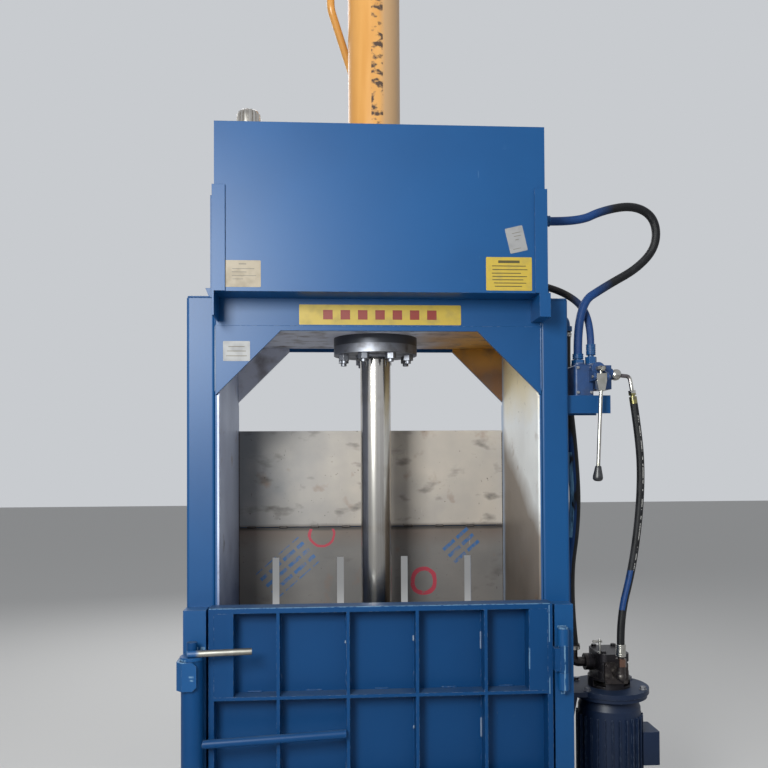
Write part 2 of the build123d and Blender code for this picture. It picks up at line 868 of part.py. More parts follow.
# Bearings on the left pad: an end plate at the bottom and top, and two bent clips round the tube
clip_height = 84
clip_levels = (lock_top - clip_height / 2, lock_bottom + 150)
clip_gap = 1.5
clip_wall = 8
clip_bend = 18
clip_reach = 19
clip_cut = 12
clip_radius = tube_radius + clip_gap
clip_left = -frame_half - clip_wall
clip_front = lock_y - clip_radius - clip_wall
clip_back = pad_front + 24
lip_end = lock_x + clip_reach
bearing_top = lock_top + floor_clearance
bearing_width = 2 * pivot_radius + 28
with BuildPart() as lock_bearings:
    for bottom, diameter in ((bearing_bottom, bearing_width), (bearing_top, lock_bearing_diameter)):
        with BuildSketch(Plane.XY.offset(bottom)):
            with Locations((lock_x, lock_y)):
                Circle(diameter / 2)
            with Locations((lock_x, (lock_y + pad_front) / 2)):
                Rectangle(bearing_width, pad_front - lock_y)
            with Locations((lock_x, lock_y)):
                Circle(pivot_radius + plain_fit, mode=Mode.SUBTRACT)
        extrude(amount=lock_bearing_thickness)
    for level in clip_levels:
        with BuildSketch(Plane.XY.offset(level - clip_height / 2)):
            Polygon(
                (clip_left, clip_back),
                (clip_left, clip_front + clip_bend),
                (clip_left + clip_bend, clip_front),
                (lip_end, clip_front),
                (lip_end, clip_front + clip_wall),
                (clip_left + clip_bend + 3, clip_front + clip_wall),
                (clip_left + clip_wall, clip_front + clip_bend + 3),
                (clip_left + clip_wall, clip_back),
                align=None,
            )
        extrude(amount=clip_height)
        with BuildSketch(front_plane(clip_front + clip_wall)):
            for edge in (-1, 1):
                Polygon(
                    (lip_end - clip_cut, level + edge * clip_height / 2),
                    (lip_end, level + edge * (clip_height / 2 - clip_cut)),
                    (lip_end, level + edge * clip_height / 2),
                    align=None,
                )
        extrude(amount=clip_wall, mode=Mode.SUBTRACT)
lock_bearings.part.label = "lock_bearings"
export_step(lock_bearings.part, "parts/lock_bearings.step")

# Bare latch bar welded across the front of the upper pivot, lying along the door
latch_overlap = 3
latch_offset = pivot_radius + latch_diameter / 2 - latch_overlap
latch_direction = (cos(radians(latch_lean)), sin(radians(latch_lean)), 0)
latch_origin = (
    lock_x + latch_offset * latch_direction[1] - latch_stub * latch_direction[0],
    lock_y - latch_offset * latch_direction[0] - latch_stub * latch_direction[1],
    latch_level,
)
with BuildPart() as latch_bar:
    with BuildSketch(Plane(origin=latch_origin, z_dir=latch_direction)):
        Circle(latch_diameter / 2)
    extrude(amount=latch_length)
    with Locations((lock_x, lock_y, latch_level)):
        Cylinder(pivot_radius, 2 * latch_diameter, mode=Mode.SUBTRACT)
latch_bar.part.label = "latch_bar"
export_step(latch_bar.part, "parts/latch_bar.step")

# Lever bar welded to the tube
lever_direction = (
    cos(radians(lever_lean)) * cos(radians(lever_rise)),
    sin(radians(lever_lean)) * cos(radians(lever_rise)),
    sin(radians(lever_rise)),
)
lever_start = tube_radius - 3
lever_origin = (
    lock_x + lever_start * lever_direction[0],
    lock_y + lever_start * lever_direction[1],
    lever_level,
)
with BuildPart() as lock_lever:
    with BuildSketch(Plane(origin=lever_origin, z_dir=lever_direction)):
        Circle(lever_diameter / 2)
    extrude(amount=lever_length)
    with Locations((lock_x, lock_y, lever_level)):
        Cylinder(tube_radius, 3 * lever_diameter, mode=Mode.SUBTRACT)
lock_lever.part.label = "lock_lever"
export_step(lock_lever.part, "parts/lock_lever.step")

# Oil tank of thin plate, with its filler neck
with BuildPart() as oil_tank:
    with BuildSketch(Plane.XY.offset(tank_bottom)):
        with Locations((0, tank_y)):
            Rectangle(tank_width, tank_depth)
    extrude(amount=tank_height)
    with BuildSketch(Plane.XY.offset(tank_top)):
        with Locations((breather_x, breather_y)):
            Circle(neck_diameter / 2)
    extrude(amount=neck_height)
    with BuildSketch(Plane.XY.offset(tank_bottom + tank_wall)):
        with Locations((0, tank_y)):
            Rectangle(tank_width - 2 * tank_wall, tank_depth - 2 * tank_wall)
    extrude(amount=tank_height - 2 * tank_wall, mode=Mode.SUBTRACT)
    with BuildSketch(Plane.XY.offset(tank_top - tank_wall)):
        with Locations((breather_x, breather_y)):
            Circle(neck_diameter / 2 - 5)
    extrude(amount=neck_height + tank_wall, mode=Mode.SUBTRACT)
oil_tank.part.label = "oil_tank"
export_step(oil_tank.part, "parts/oil_tank.step")

# Angle irons up the tank's front corners, with a small gusset on each post and a knee below each
gusset_reach = 30
angle_outer = tank_half + bracket_wall
knee_right = angle_outer + bracket_wall + 2
knee_front = tank_front - bracket_wall
with BuildPart() as tank_brackets:
    for side in (-1, 1):
        with BuildSketch(Plane.XY.offset(post_top)):
            Polygon(
                (side * (angle_outer - bracket_leg), knee_front),
                (side * angle_outer, knee_front),
                (side * angle_outer, front_y - bracket_wall),
                (side * (angle_outer + bracket_flange), front_y - bracket_wall),
                (side * (angle_outer + bracket_flange), front_y),
                (side * tank_half, front_y),
                (side * tank_half, tank_front),
                (side * (angle_outer - bracket_leg), tank_front),
                align=None,
            )
        extrude(amount=bracket_top - post_top)
        with BuildSketch(front_plane(front_y + 40)):
            Polygon(
                (side * (angle_outer + 6), post_top),
                (side * (angle_outer + bracket_flange + 4), post_top),
                (side * (angle_outer + bracket_flange + 16), post_top + gusset_reach),
                (side * (angle_outer + 6), post_top + gusset_reach),
                align=None,
            )
        extrude(amount=40)
    with BuildSketch(Plane.XY.offset(bracket_bottom)):
        Polygon(
            (-angle_outer, knee_front),
            (-tank_half, knee_front),
            (-tank_half, front_y),
            (-angle_outer, front_y),
            align=None,
        )
    extrude(amount=bracket_top - bracket_bottom)
    with BuildSketch(Plane.XY.offset(bracket_bottom)):
        with Locations((knee_right - bracket_knee / 2, (knee_front + front_y) / 2)):
            Rectangle(bracket_knee, front_y - knee_front)
            Rectangle(
                bracket_knee - 2 * bracket_wall,
                front_y - knee_front - 2 * bracket_wall,
                mode=Mode.SUBTRACT,
            )
    extrude(amount=post_top - bracket_bottom)
    with BuildSketch(Plane.XY.offset(bracket_bottom)):
        with Locations((knee_right - bracket_knee / 2, (knee_front + front_y) / 2)):
            Rectangle(bracket_knee, front_y - knee_front)
    extrude(amount=bracket_wall)
tank_brackets.part.label = "tank_brackets"
export_step(tank_brackets.part, "parts/tank_brackets.step")

# Clean-out cover on the tank with its screws
cover_thickness = 6
with BuildPart() as tank_cover:
    with BuildSketch(Plane.XY.offset(tank_top)):
        with Locations((0, tank_y)):
            RectangleRounded(cover_length, cover_width, 12)
    extrude(amount=cover_thickness)
    with BuildSketch(Plane.XY.offset(tank_top + cover_thickness)):
        with Locations((0, tank_y)):
            with GridLocations((cover_length - 30) / 3, cover_width - 30, 4, 2):
                RegularPolygon(7, 6, major_radius=False)
    extrude(amount=6)
tank_cover.part.label = "tank_cover"
export_step(tank_cover.part, "parts/tank_cover.step")

# Breather cap: a ribbed chrome bell over the filler neck
cap_bottom = tank_top + 2
cap_top = cap_bottom + breather_height
cap_radius = breather_diameter / 2
inner_radius = neck_diameter / 2 + plain_fit
rib_count = 18
with BuildPart() as breather_cap:
    with BuildSketch(Plane(origin=(breather_x, breather_y, 0), x_dir=(1, 0, 0), z_dir=(0, -1, 0))):
        Polygon(
            (0, cap_top),
            (0, tank_top + neck_height),
            (inner_radius, tank_top + neck_height),
            (inner_radius, cap_bottom),
            (cap_radius, cap_bottom),
            (cap_radius, cap_top - 18),
            (cap_radius - 6, cap_top - 7),
            (cap_radius - 18, cap_top - 1),
            align=None,
        )
    revolve(axis=Axis((breather_x, breather_y, 0), (0, 0, 1)))
    with BuildSketch(Plane.XY.offset(cap_bottom + 12)):
        with Locations((breather_x, breather_y)):
            with PolarLocations(cap_radius + 1, rib_count):
                Rectangle(5, 6)
    extrude(amount=breather_height - 34, mode=Mode.SUBTRACT)
breather_cap.part.label = "breather_cap"
export_step(breather_cap.part, "parts/breather_cap.step")

# Shelf for the hand valve: a folded channel on the right front post
shelf_back = shelf_front + shelf_depth
with BuildPart() as valve_shelf:
    with BuildSketch(side_plane(frame_half)):
        Polygon(
            (shelf_front, shelf_top - shelf_height),
            (shelf_front, shelf_top),
            (shelf_back, shelf_top),
            (shelf_back, shelf_top - shelf_height),
            (shelf_back - shelf_wall, shelf_top - shelf_height),
            (shelf_back - shelf_wall, shelf_top - shelf_wall),
            (shelf_front + shelf_wall, shelf_top - shelf_wall),
            (shelf_front + shelf_wall, shelf_top - shelf_height),
            align=None,
        )
    extrude(amount=shelf_end - frame_half)
valve_shelf.part.label = "valve_shelf"
export_step(valve_shelf.part, "parts/valve_shelf.step")

# Valve body with two ports on top, a port at the right, a nose for the spool and a lever yoke
valve_top = shelf_top + valve_height
valve_back = valve_front + valve_depth
port_a = (valve_left + 25, valve_front + 50)
port_b = (valve_left + 74, valve_front + 68)
pressure_port = (valve_front + 40, shelf_top + 72)
port_boss_height = 8
nose_length = 22
yoke_inner = 17
yoke_outer = 25
pivot_diameter = 10
block_right = valve_left + valve_block_width
step_front = valve_front + valve_block_step
with BuildPart() as valve_body:
    with BuildSketch(Plane.XY.offset(shelf_top)):
        with Locations(((valve_left + block_right) / 2, (valve_front + valve_back) / 2)):
            RectangleRounded(valve_block_width, valve_depth, 8)
    extrude(amount=valve_height)
    chamfer(valve_body.faces().sort_by(Axis.Z)[-1].edges(), length=5)
    with BuildSketch(Plane.XY.offset(shelf_top + valve_block_lift)):
        with Locations(((block_right - 12 + valve_right) / 2, (step_front + valve_back) / 2)):
            RectangleRounded(valve_right - block_right + 12, valve_back - step_front, 5)
    extrude(amount=valve_height - valve_block_lift)
    with BuildSketch(Plane.XY.offset(valve_top - 8)):
        with Locations(port_a):
            Circle(22)
        with Locations(port_b):
            Circle(20)
    extrude(amount=8 + port_boss_height)
    with BuildSketch(side_plane(valve_right - 6)):
        with Locations(pressure_port):
            Circle(19)
    extrude(amount=12)
    with BuildSketch(front_plane(step_front + 4)):
        with Locations((spool_x, spool_level)):
            Circle(22)
    extrude(amount=valve_block_step + nose_length + 4)
    for side in (-1, 1):
        with BuildSketch(side_plane(spool_x + side * (yoke_inner + yoke_outer) / 2 - 4)):
            Polygon(
                (step_front + 4, lever_pivot_level - 14),
                (step_front + 4, lever_pivot_level + 34),
                (lever_pivot_y - 8, lever_pivot_level + 10),
                (lever_pivot_y - 12, lever_pivot_level - 4),
                (lever_pivot_y - 4, lever_pivot_level - 12),
                align=None,
            )
            with Locations((lever_pivot_y, lever_pivot_level)):
                Circle(pivot_diameter / 2 + plain_fit, mode=Mode.SUBTRACT)
        extrude(amount=8)
    with BuildSketch(front_plane(valve_back + 1)):
        with Locations((spool_x, spool_level)):
            Circle(spool_diameter / 2 + plain_fit)
    extrude(amount=valve_depth + nose_length + 10, mode=Mode.SUBTRACT)
valve_body.part.label = "valve_body"
export_step(valve_body.part, "parts/valve_body.step")

# Spool with a square eye for the lever's ball
ball_radius = valve_ball / 2
eye_width = valve_ball + 10
eye_depth = valve_ball + 6
eye_height = 10
spool_back = valve_back - 14
with BuildPart() as valve_spool:
    with BuildSketch(front_plane(spool_back)):
        with Locations((spool_x, spool_level)):
            Circle(spool_diameter / 2)
    extrude(amount=spool_back - (lever_pivot_y + eye_depth / 2))
    with BuildSketch(Plane.XY.offset(spool_level - eye_height / 2)):
        with Locations((spool_x, lever_pivot_y)):
            Rectangle(eye_width, eye_depth)
            Rectangle(valve_ball + 1.2, valve_ball + 0.6, mode=Mode.SUBTRACT)
    extrude(amount=eye_height)
valve_spool.part.label = "valve_spool"
export_step(valve_spool.part, "parts/valve_spool.step")

# Hand lever: ball in the spool's eye, boss on its pivot pin, rod hanging down
boss_bottom = lever_pivot_level - 46
rod_lean = radians(valve_lever_tilt)
rod_drop = (-sin(rod_lean), 0, -cos(rod_lean))
rod_start = (spool_x, lever_pivot_y, boss_bottom + 6)
with BuildPart() as valve_lever:
    with Locations((spool_x, lever_pivot_y, spool_level)):
        Sphere(ball_radius)
    with BuildSketch(Plane.XY.offset(lever_pivot_level)):
        with Locations((spool_x, lever_pivot_y)):
            Circle(4.5)
    extrude(amount=spool_level - lever_pivot_level)
    with BuildSketch(front_plane(lever_pivot_y + 11)):
        Polygon(
            (spool_x - 16, lever_pivot_level + 10),
            (spool_x + 16, lever_pivot_level + 10),
            (spool_x + 16, lever_pivot_level - 14),
            (spool_x + 10, boss_bottom),
            (spool_x - 10, boss_bottom),
            (spool_x - 16, lever_pivot_level - 14),
            align=None,
        )
    extrude(amount=22)
    with BuildSketch(side_plane(spool_x - yoke_outer - 4)):
        with Locations((lever_pivot_y, lever_pivot_level)):
            Circle(pivot_diameter / 2)
    extrude(amount=2 * yoke_outer + 8)
    with BuildSketch(Plane(origin=rod_start, z_dir=rod_drop)):
        Circle(valve_lever_diameter / 2)
    extrude(amount=valve_lever_length - 46)
valve_lever.part.label = "valve_lever"
export_step(valve_lever.part, "parts/valve_lever.step")

# Black knob, a tapered grip on the rod's end
knob_start = tuple(a + (valve_lever_length - 46) * d for a, d in zip(rod_start, rod_drop))
with BuildPart() as lever_knob:
    with BuildSketch(Plane(origin=knob_start, z_dir=rod_drop)):
        Circle(10)
    with BuildSketch(Plane(origin=knob_start, z_dir=rod_drop).offset(knob_length - 14)):
        Circle(16)
    loft()
    with BuildSketch(Plane(origin=knob_start, z_dir=rod_drop).offset(knob_length - 14)):
        Circle(16)
    extrude(amount=14)
    fillet(lever_knob.edges().sort_by(Axis.Z)[0], radius=10)
lever_knob.part.label = "lever_knob"
export_step(lever_knob.part, "parts/lever_knob.step")

# Bracket for the power unit: an upright plate on both posts, a neck and a round table with two gussets
table_top = bracket_plate_bottom + bracket_plate_thickness
upright_front = front_y + 60
upright_face = frame_half + wall_thickness
neck_gusset = 40
gusset_plate = 10
with BuildPart() as motor_bracket:
    with BuildSketch(side_plane(frame_half)):
        Polygon(
            (upright_front, bracket_plate_bottom - bracket_depth),
            (rear_y, bracket_plate_bottom - bracket_depth),
            (rear_y, table_top + bracket_rise),
            (upright_front, table_top + bracket_rise),
            align=None,
        )
    extrude(amount=wall_thickness)
    with BuildSketch(Plane.XY.offset(bracket_plate_bottom)):
        with Locations((motor_x, motor_y)):
            Circle(table_diameter / 2)
        with Locations(((upright_face + motor_x) / 2, motor_y)):
            Rectangle(motor_x - upright_face, table_neck)
        with Locations((motor_x, motor_y)):
            Circle(62, mode=Mode.SUBTRACT)
    extrude(amount=bracket_plate_thickness)
    for y in (motor_y - table_neck / 2 + gusset_plate, motor_y + table_neck / 2):
        with BuildSketch(front_plane(y)):
            Polygon(
                (upright_face, bracket_plate_bottom),
                (upright_face, bracket_plate_bottom - 150),
                (upright_face + 10, bracket_plate_bottom - 150),
                (upright_face + neck_gusset, bracket_plate_bottom),
                align=None,
            )
        extrude(amount=gusset_plate)
motor_bracket.part.label = "motor_bracket"
export_step(motor_bracket.part, "parts/motor_bracket.step")

# Motor frame hung under the table: flange, ribbed barrel and two end shields
motor_top = bracket_plate_bottom
motor_bottom = motor_top - motor_length
shield = 18
core_radius = motor_diameter / 2 - 8
fin_count = 28
terminal_width = 110
with BuildPart() as motor_body:
    with BuildSketch(Plane(origin=(motor_x, motor_y, 0), x_dir=(1, 0, 0), z_dir=(0, -1, 0))):
        Polygon(
            (shaft_diameter / 2 + plain_fit, motor_bottom),
            (core_radius - 10, motor_bottom),
            (core_radius, motor_bottom + shield),
            (core_radius, motor_top - 50),
            (core_radius - 14, motor_top - motor_flange_thickness),
            (motor_flange / 2, motor_top - motor_flange_thickness),
            (motor_flange / 2, motor_top),
            (shaft_diameter / 2 + plain_fit, motor_top),
            (shaft_diameter / 2 + plain_fit, motor_top - shield),
            (motor_bore / 2, motor_top - shield),
            (motor_bore / 2, motor_bottom + shield),
            (shaft_diameter / 2 + plain_fit, motor_bottom + shield),
            align=None,
        )
    revolve(axis=Axis((motor_x, motor_y, 0), (0, 0, 1)))
    with BuildSketch(Plane.XY.offset(motor_bottom + shield + 6)):
        with Locations((motor_x, motor_y)):
            with PolarLocations(core_radius + 2, fin_count):
                Rectangle(12, 4)
    extrude(amount=motor_length - shield - 80)
    with BuildSketch(Plane.XY.offset(motor_bottom + 120)):
        with Locations((motor_x + core_radius + 22, motor_y)):
            RectangleRounded(60, terminal_width, 6)
    extrude(amount=terminal_width)
motor_body.part.label = "motor_body"
export_step(motor_body.part, "parts/motor_body.step")

# Rotor: shaft with its core, the coupling in the lantern and the fan under the motor
fan_level = motor_bottom - 40
blade_count = 7
coupling_top = pump_bottom - 4
with BuildPart() as motor_rotor:
    with BuildSketch(Plane(origin=(motor_x, motor_y, 0), x_dir=(1, 0, 0), z_dir=(0, -1, 0))):
        Polygon(
            (0, fan_level - 8),
            (shaft_diameter / 2, fan_level - 8),
            (shaft_diameter / 2, motor_bottom + shield + 4),
            (motor_bore / 2 - 2, motor_bottom + shield + 4),
            (motor_bore / 2 - 2, motor_top - shield - 4),
            (shaft_diameter / 2, motor_top - shield - 4),
            (shaft_diameter / 2, motor_top + 2),
            (shaft_diameter / 2 + 14, motor_top + 2),
            (shaft_diameter / 2 + 14, coupling_top),
            (0, coupling_top),
            align=None,
        )
    revolve(axis=Axis((motor_x, motor_y, 0), (0, 0, 1)))
    with BuildSketch(Plane.XY.offset(fan_level - 8)):
        with Locations((motor_x, motor_y)):
            Circle(fan_diameter / 2 - 20)
    extrude(amount=5)
    with BuildSketch(Plane.XY.offset(fan_level - 3)):
        with Locations((motor_x, motor_y)):
            with PolarLocations(fan_diameter / 4 + 8, blade_count):
                Rectangle(fan_diameter / 2 - 30, 4)
    extrude(amount=28)
motor_rotor.part.label = "motor_rotor"
export_step(motor_rotor.part, "parts/motor_rotor.step")

# Fan cowl with a ring of air holes in its floor
cowl_top = motor_bottom + 6
cowl_radius = motor_diameter / 2
cowl_sheet = 3
with BuildPart() as fan_cowl:
    with BuildSketch(Plane(origin=(motor_x, motor_y, 0), x_dir=(1, 0, 0), z_dir=(0, -1, 0))):
        Polygon(
            (0, cowl_top - cowl_length),
            (cowl_radius - 14, cowl_top - cowl_length),
            (cowl_radius, cowl_top - cowl_length + 14),
            (cowl_radius, cowl_top),
            (core_radius - 10, cowl_top),
            (core_radius - 10, cowl_top - 6),
            (cowl_radius - cowl_sheet, cowl_top - 6),
            (cowl_radius - cowl_sheet, cowl_top - cowl_length + 15),
            (cowl_radius - 15, cowl_top - cowl_length + cowl_sheet),
            (0, cowl_top - cowl_length + cowl_sheet),
            align=None,
        )
    revolve(axis=Axis((motor_x, motor_y, 0), (0, 0, 1)))
    with BuildSketch(Plane.XY.offset(cowl_top - cowl_length)):
        with Locations((motor_x, motor_y)):
            with PolarLocations(58, 12):
                SlotOverall(52, 12)
    extrude(amount=cowl_sheet + 2, mode=Mode.SUBTRACT)
    with BuildSketch(Plane(origin=(motor_x, motor_y, 0), x_dir=(1, 0, 0), z_dir=(0, -1, 0))):
        Polygon(
            (0, motor_bottom),
            (core_radius - 10, motor_bottom),
            (core_radius, motor_bottom + shield),
            (0, motor_bottom + shield),
            align=None,
        )
    revolve(axis=Axis((motor_x, motor_y, 0), (0, 0, 1)), mode=Mode.SUBTRACT)
fan_cowl.part.label = "fan_cowl"
export_step(fan_cowl.part, "parts/fan_cowl.step")

# Lantern between table and pump, open at four windows
lantern_bottom = table_top
lantern_top = pump_bottom
with BuildPart() as pump_lantern:
    with BuildSketch(Plane.XY.offset(lantern_bottom)):
        with Locations((motor_x, motor_y)):
            Circle(70)
            Circle(44, mode=Mode.SUBTRACT)
    extrude(amount=lantern_top - lantern_bottom)
    with BuildSketch(Plane.XY.offset(lantern_bottom + 8)):
        with Locations((motor_x, motor_y)):
            with PolarLocations(60, 4, start_angle=45):
                Rectangle(50, 46)
    extrude(amount=lantern_top - lantern_bottom - 16, mode=Mode.SUBTRACT)
pump_lantern.part.label = "pump_lantern"
export_step(pump_lantern.part, "parts/pump_lantern.step")

# Gear pump: three-part cast body with a suction boss at its back
pump_front = motor_y - pump_depth / 2
pump_back = motor_y + pump_depth / 2
cover_height = 26
suction_port = (motor_x - pump_width / 2, motor_y + 22, pump_top - 44)
with BuildPart() as pump_body:
    with BuildSketch(Plane.XY.offset(pump_bottom)):
        with Locations((motor_x, motor_y)):
            RectangleRounded(pump_width, pump_depth, 24)
    extrude(amount=cover_height)
    with BuildSketch(Plane.XY.offset(pump_bottom + cover_height)):
        with Locations((motor_x, motor_y)):
            RectangleRounded(pump_width - 8, pump_depth - 8, 22)
    extrude(amount=pump_top - pump_bottom - 2 * cover_height)
    with BuildSketch(Plane.XY.offset(pump_top - cover_height)):
        with Locations((motor_x, motor_y)):
            RectangleRounded(pump_width, pump_depth, 24)
    extrude(amount=cover_height)
    with BuildSketch(front_plane(motor_y)):
        with Locations((motor_x, pump_bottom + 28)):
            Rectangle(pump_width - 18, 44)
    extrude(amount=pump_depth / 2)
    with BuildSketch(Plane.XY.offset(pump_top)):
        with Locations((motor_x, motor_y)):
            with GridLocations(pump_width - 36, pump_depth - 36, 2, 2):
                RegularPolygon(8, 6, major_radius=False)
    extrude(amount=8)
    with BuildSketch(side_plane(suction_port[0] - 16)):
        with Locations((suction_port[1], suction_port[2])):
            Circle(28)
    extrude(amount=30)
pump_body.part.label = "pump_body"
export_step(pump_body.part, "parts/pump_body.step")

# Hose ends: a hexagon nut, a groove and a crimped ferrule
def fitting(base, direction, length, hexagon, diameter):
    """Nut and ferrule from base along direction, as one solid that a hose meets face to face."""
    start = Plane(origin=base, z_dir=direction)
    nut = 0.36 * length
    with BuildPart() as body:
        with BuildSketch(start):
            RegularPolygon(hexagon / 2, 6, major_radius=False)
        extrude(amount=nut)
        with BuildSketch(start.offset(nut)):
            Circle(diameter / 2 - 2)
        extrude(amount=0.1 * length)
        with BuildSketch(start.offset(nut + 0.1 * length)):
            Circle(diameter / 2 + 3)
        extrude(amount=length - nut - 0.1 * length)
    return body.part


def bend_radii(points):
    """Radius at each turn: 0.45 of the shorter run, divided by the tangent of half the turn."""
    radii = []
    for a, b, c in zip(points, points[1:], points[2:]):
        into = Vector(*b) - Vector(*a)
        out = Vector(*c) - Vector(*b)
        half_turn = radians(into.get_angle(out)) / 2
        radii.append(0.45 * min(into.length, out.length) / tan(half_turn))
    return radii


def bent_bar(points, radii, diameter):
    """Round bar along straight runs joined by arcs."""
    with BuildPart() as body:
        with BuildLine():
            route = FilletPolyline(*points, radius=radii)
        with BuildSketch(Plane(origin=route @ 0, z_dir=route % 0)):
            Circle(diameter / 2)
        sweep()
    return body.part, route.length


def hose(label, points, diameter):
    """Hose through the points, exported under its label, with its radii and volume printed."""
    radii = bend_radii(points)
    body, length = bent_bar(points, radii, diameter)
    body.label = label
    export_step(body, f"parts/{label}.step")
    expected = pi * diameter**2 / 4 * length
    print(label, "radii", [round(r) for r in radii], "length", round(length))
    print(label, "volume", round(body.volume), "section times length", round(expected))


# Places where the hoses begin and end
boss_top = valve_top + port_boss_height
return_rise = 32
cylinder_rise = 66
return_nipple = (tank_width / 2, -200, post_top + 273)
nipple_length = 64
union_place = (wall_outer, -62, post_top + 93)
union_length = 33
pressure_drop = (valve_right + 78, pressure_port[0] - 4, pressure_port[1] - 97)
drop_lean = radians(pressure_hose_lean)
drop_direction = (sin(drop_lean), 0, -cos(drop_lean))
ferrule_length = 44
pump_port_level = pump_bottom + 26
pump_port_front = pump_front - 52
pump_nut_bottom = pump_port_level + 32
pump_ferrule = 73
collar_height = 16
suction_drop = (frame_half + 50, suction_y, suction_level - 46)
suction_rise = (motor_x - 117, suction_port[1], suction_port[2] + 62)

return_points = [
    (return_nipple[0] + nipple_length, return_nipple[1], return_nipple[2]),
    (662, return_nipple[1], return_nipple[2]),
    (770, -185, 2205),
    (870, -165, 2222),
    (948, -150, 2185),
    (955, -138, 2095),
    (890, -135, 2015),
    (765, -155, 1972),
    (port_a[0], port_a[1], 1890),
    (port_a[0], port_a[1], boss_top + return_rise),
]
hose("return_hose", return_points, return_hose_diameter)

cylinder_points = [
    (union_place[0] + union_length, union_place[1], union_place[2]),
    (622, -62, 1978),
    (694, -120, 1905),
    (port_b[0], port_b[1], 1825),
    (port_b[0], port_b[1], boss_top + cylinder_rise),
]
hose("cylinder_hose", cylinder_points, cylinder_hose_diameter)

pressure_points = [
    pressure_drop,
    tuple(a + 110 * d for a, d in zip(pressure_drop, drop_direction)),
    (860, -204, 1330),
    (851, -204, 1185),
    (826, -203, 1015),
    (motor_x, pump_port_front, 865),
    (motor_x, pump_port_front, pump_nut_bottom + pump_ferrule),
]
hose("pressure_hose", pressure_points, pressure_hose_diameter)

suction_points = [
    suction_drop,
    (650, suction_y, 1660),
    (693, -72, 1400),
    (700, -72, 1180),
    (669, suction_port[1], 960),
    suction_rise,
]
hose("suction_hose", suction_points, suction_hose_diameter)

# Steel oil pipe from the cap, down behind the barrel and across to its bracket
pipe_drop = -150
pipe_behind = 114
pipe_points = [
    (port_face, 0, port_level),
    (pipe_drop, 0, port_level),
    (pipe_drop, 0, 2950),
    (-62, pipe_behind, 2735),
    (-62, pipe_behind, union_place[2]),
    (union_place[0] - 182, pipe_behind, union_place[2]),
    (union_place[0] - 82, union_place[1], union_place[2]),
    union_place,
]
pipe_body, pipe_length = bent_bar(pipe_points, [22, 60, 60, 50, 60, 60], oil_pipe_diameter)
pipe_body.label = "oil_pipe"
export_step(pipe_body, "parts/oil_pipe.step")

# Bracket on the right wall's top edge that holds the pipe's end
with BuildPart() as pipe_bracket:
    with BuildSketch(side_plane(chamber_half)):
        Polygon(
            (union_place[1] - 50, post_top),
            (union_place[1] + 50, post_top),
            (union_place[1] + 30, union_place[2] + 32),
            (union_place[1] - 30, union_place[2] + 32),
            align=None,
        )
        with Locations((union_place[1], union_place[2])):
            Circle(oil_pipe_diameter / 2 + plain_fit, mode=Mode.SUBTRACT)
    extrude(amount=wall_thickness)
pipe_bracket.part.label = "pipe_bracket"
export_step(pipe_bracket.part, "parts/pipe_bracket.step")

# Suction pipe from a block under the tank, out through the right wall and down to its collar
block_x = chamber_half - suction_block_inset
block_y = tank_back - 30
suction_pipe_points = [
    (block_x, block_y + 20, suction_level),
    (block_x, suction_y, suction_level),
    (suction_drop[0], suction_y, suction_level),
    (suction_drop[0], suction_y, suction_drop[2] + 4),
]
suction_bar, suction_bar_length = bent_bar(suction_pipe_points, [26, 24], suction_pipe_diameter)
with BuildPart() as suction_pipe:
    with BuildSketch(Plane.XY.offset(post_top - suction_block_height)):
        with Locations((block_x, block_y)):
            Rectangle(suction_block, suction_block)
    extrude(amount=suction_block_height)
    add(suction_bar)
    with BuildSketch(Plane.XY.offset(suction_drop[2])):
        with Locations((suction_drop[0], suction_y)):
            Circle(suction_hose_diameter / 2 + 4)
    extrude(amount=collar_height)
suction_pipe.part.label = "suction_pipe"
export_step(suction_pipe.part, "parts/suction_pipe.step")

# Ball elbow at the valve's right port with its bent tube
elbow_ball = (valve_right + 21, pressure_port[0], pressure_port[1])
elbow_points = [
    (elbow_ball[0] + 4, elbow_ball[1], elbow_ball[2] - 3),
    (elbow_ball[0] + 44, elbow_ball[1] - 1, elbow_ball[2] - 7),
    tuple(a - (ferrule_length + 24) * d for a, d in zip(pressure_drop, drop_direction)),
    tuple(a - (ferrule_length - 4) * d for a, d in zip(pressure_drop, drop_direction)),
]
elbow_bar, elbow_length = bent_bar(elbow_points, bend_radii(elbow_points), 13)
with BuildPart() as valve_elbow:
    with BuildSketch(side_plane(valve_right + 6)):
        with Locations(pressure_port):
            Circle(12)
    extrude(amount=14)
    with Locations(elbow_ball):
        Sphere(17)
    add(elbow_bar)
    add(
        fitting(
            tuple(a - ferrule_length * d for a, d in zip(pressure_drop, drop_direction)),
            drop_direction,
            ferrule_length,
            22,
            pressure_hose_diameter - 6,
        )
    )

# Flanged elbow on the pump's front port
with BuildPart() as pump_elbow:
    with BuildSketch(front_plane(pump_front)):
        with Locations((motor_x, pump_port_level)):
            RectangleRounded(78, 72, 8)
    extrude(amount=12)
    with BuildSketch(front_plane(pump_front - 12)):
        with Locations((motor_x, pump_port_level)):
            with GridLocations(56, 50, 2, 2):
                RegularPolygon(8, 6, major_radius=False)
    extrude(amount=8)
    with BuildSketch(front_plane(pump_front - 12)):
        with Locations((motor_x, pump_port_level)):
            Circle(16)
    extrude(amount=pump_front - 12 - pump_port_front)
    with Locations((motor_x, pump_port_front, pump_port_level)):
        Sphere(16)
    with BuildSketch(Plane.XY.offset(pump_port_level)):
        with Locations((motor_x, pump_port_front)):
            Circle(14)
    extrude(amount=pump_nut_bottom - pump_port_level)
    add(
        fitting(
            (motor_x, pump_port_front, pump_nut_bottom),
            (0, 0, 1),
            pump_ferrule,
            32,
            pressure_hose_diameter,
        )
    )

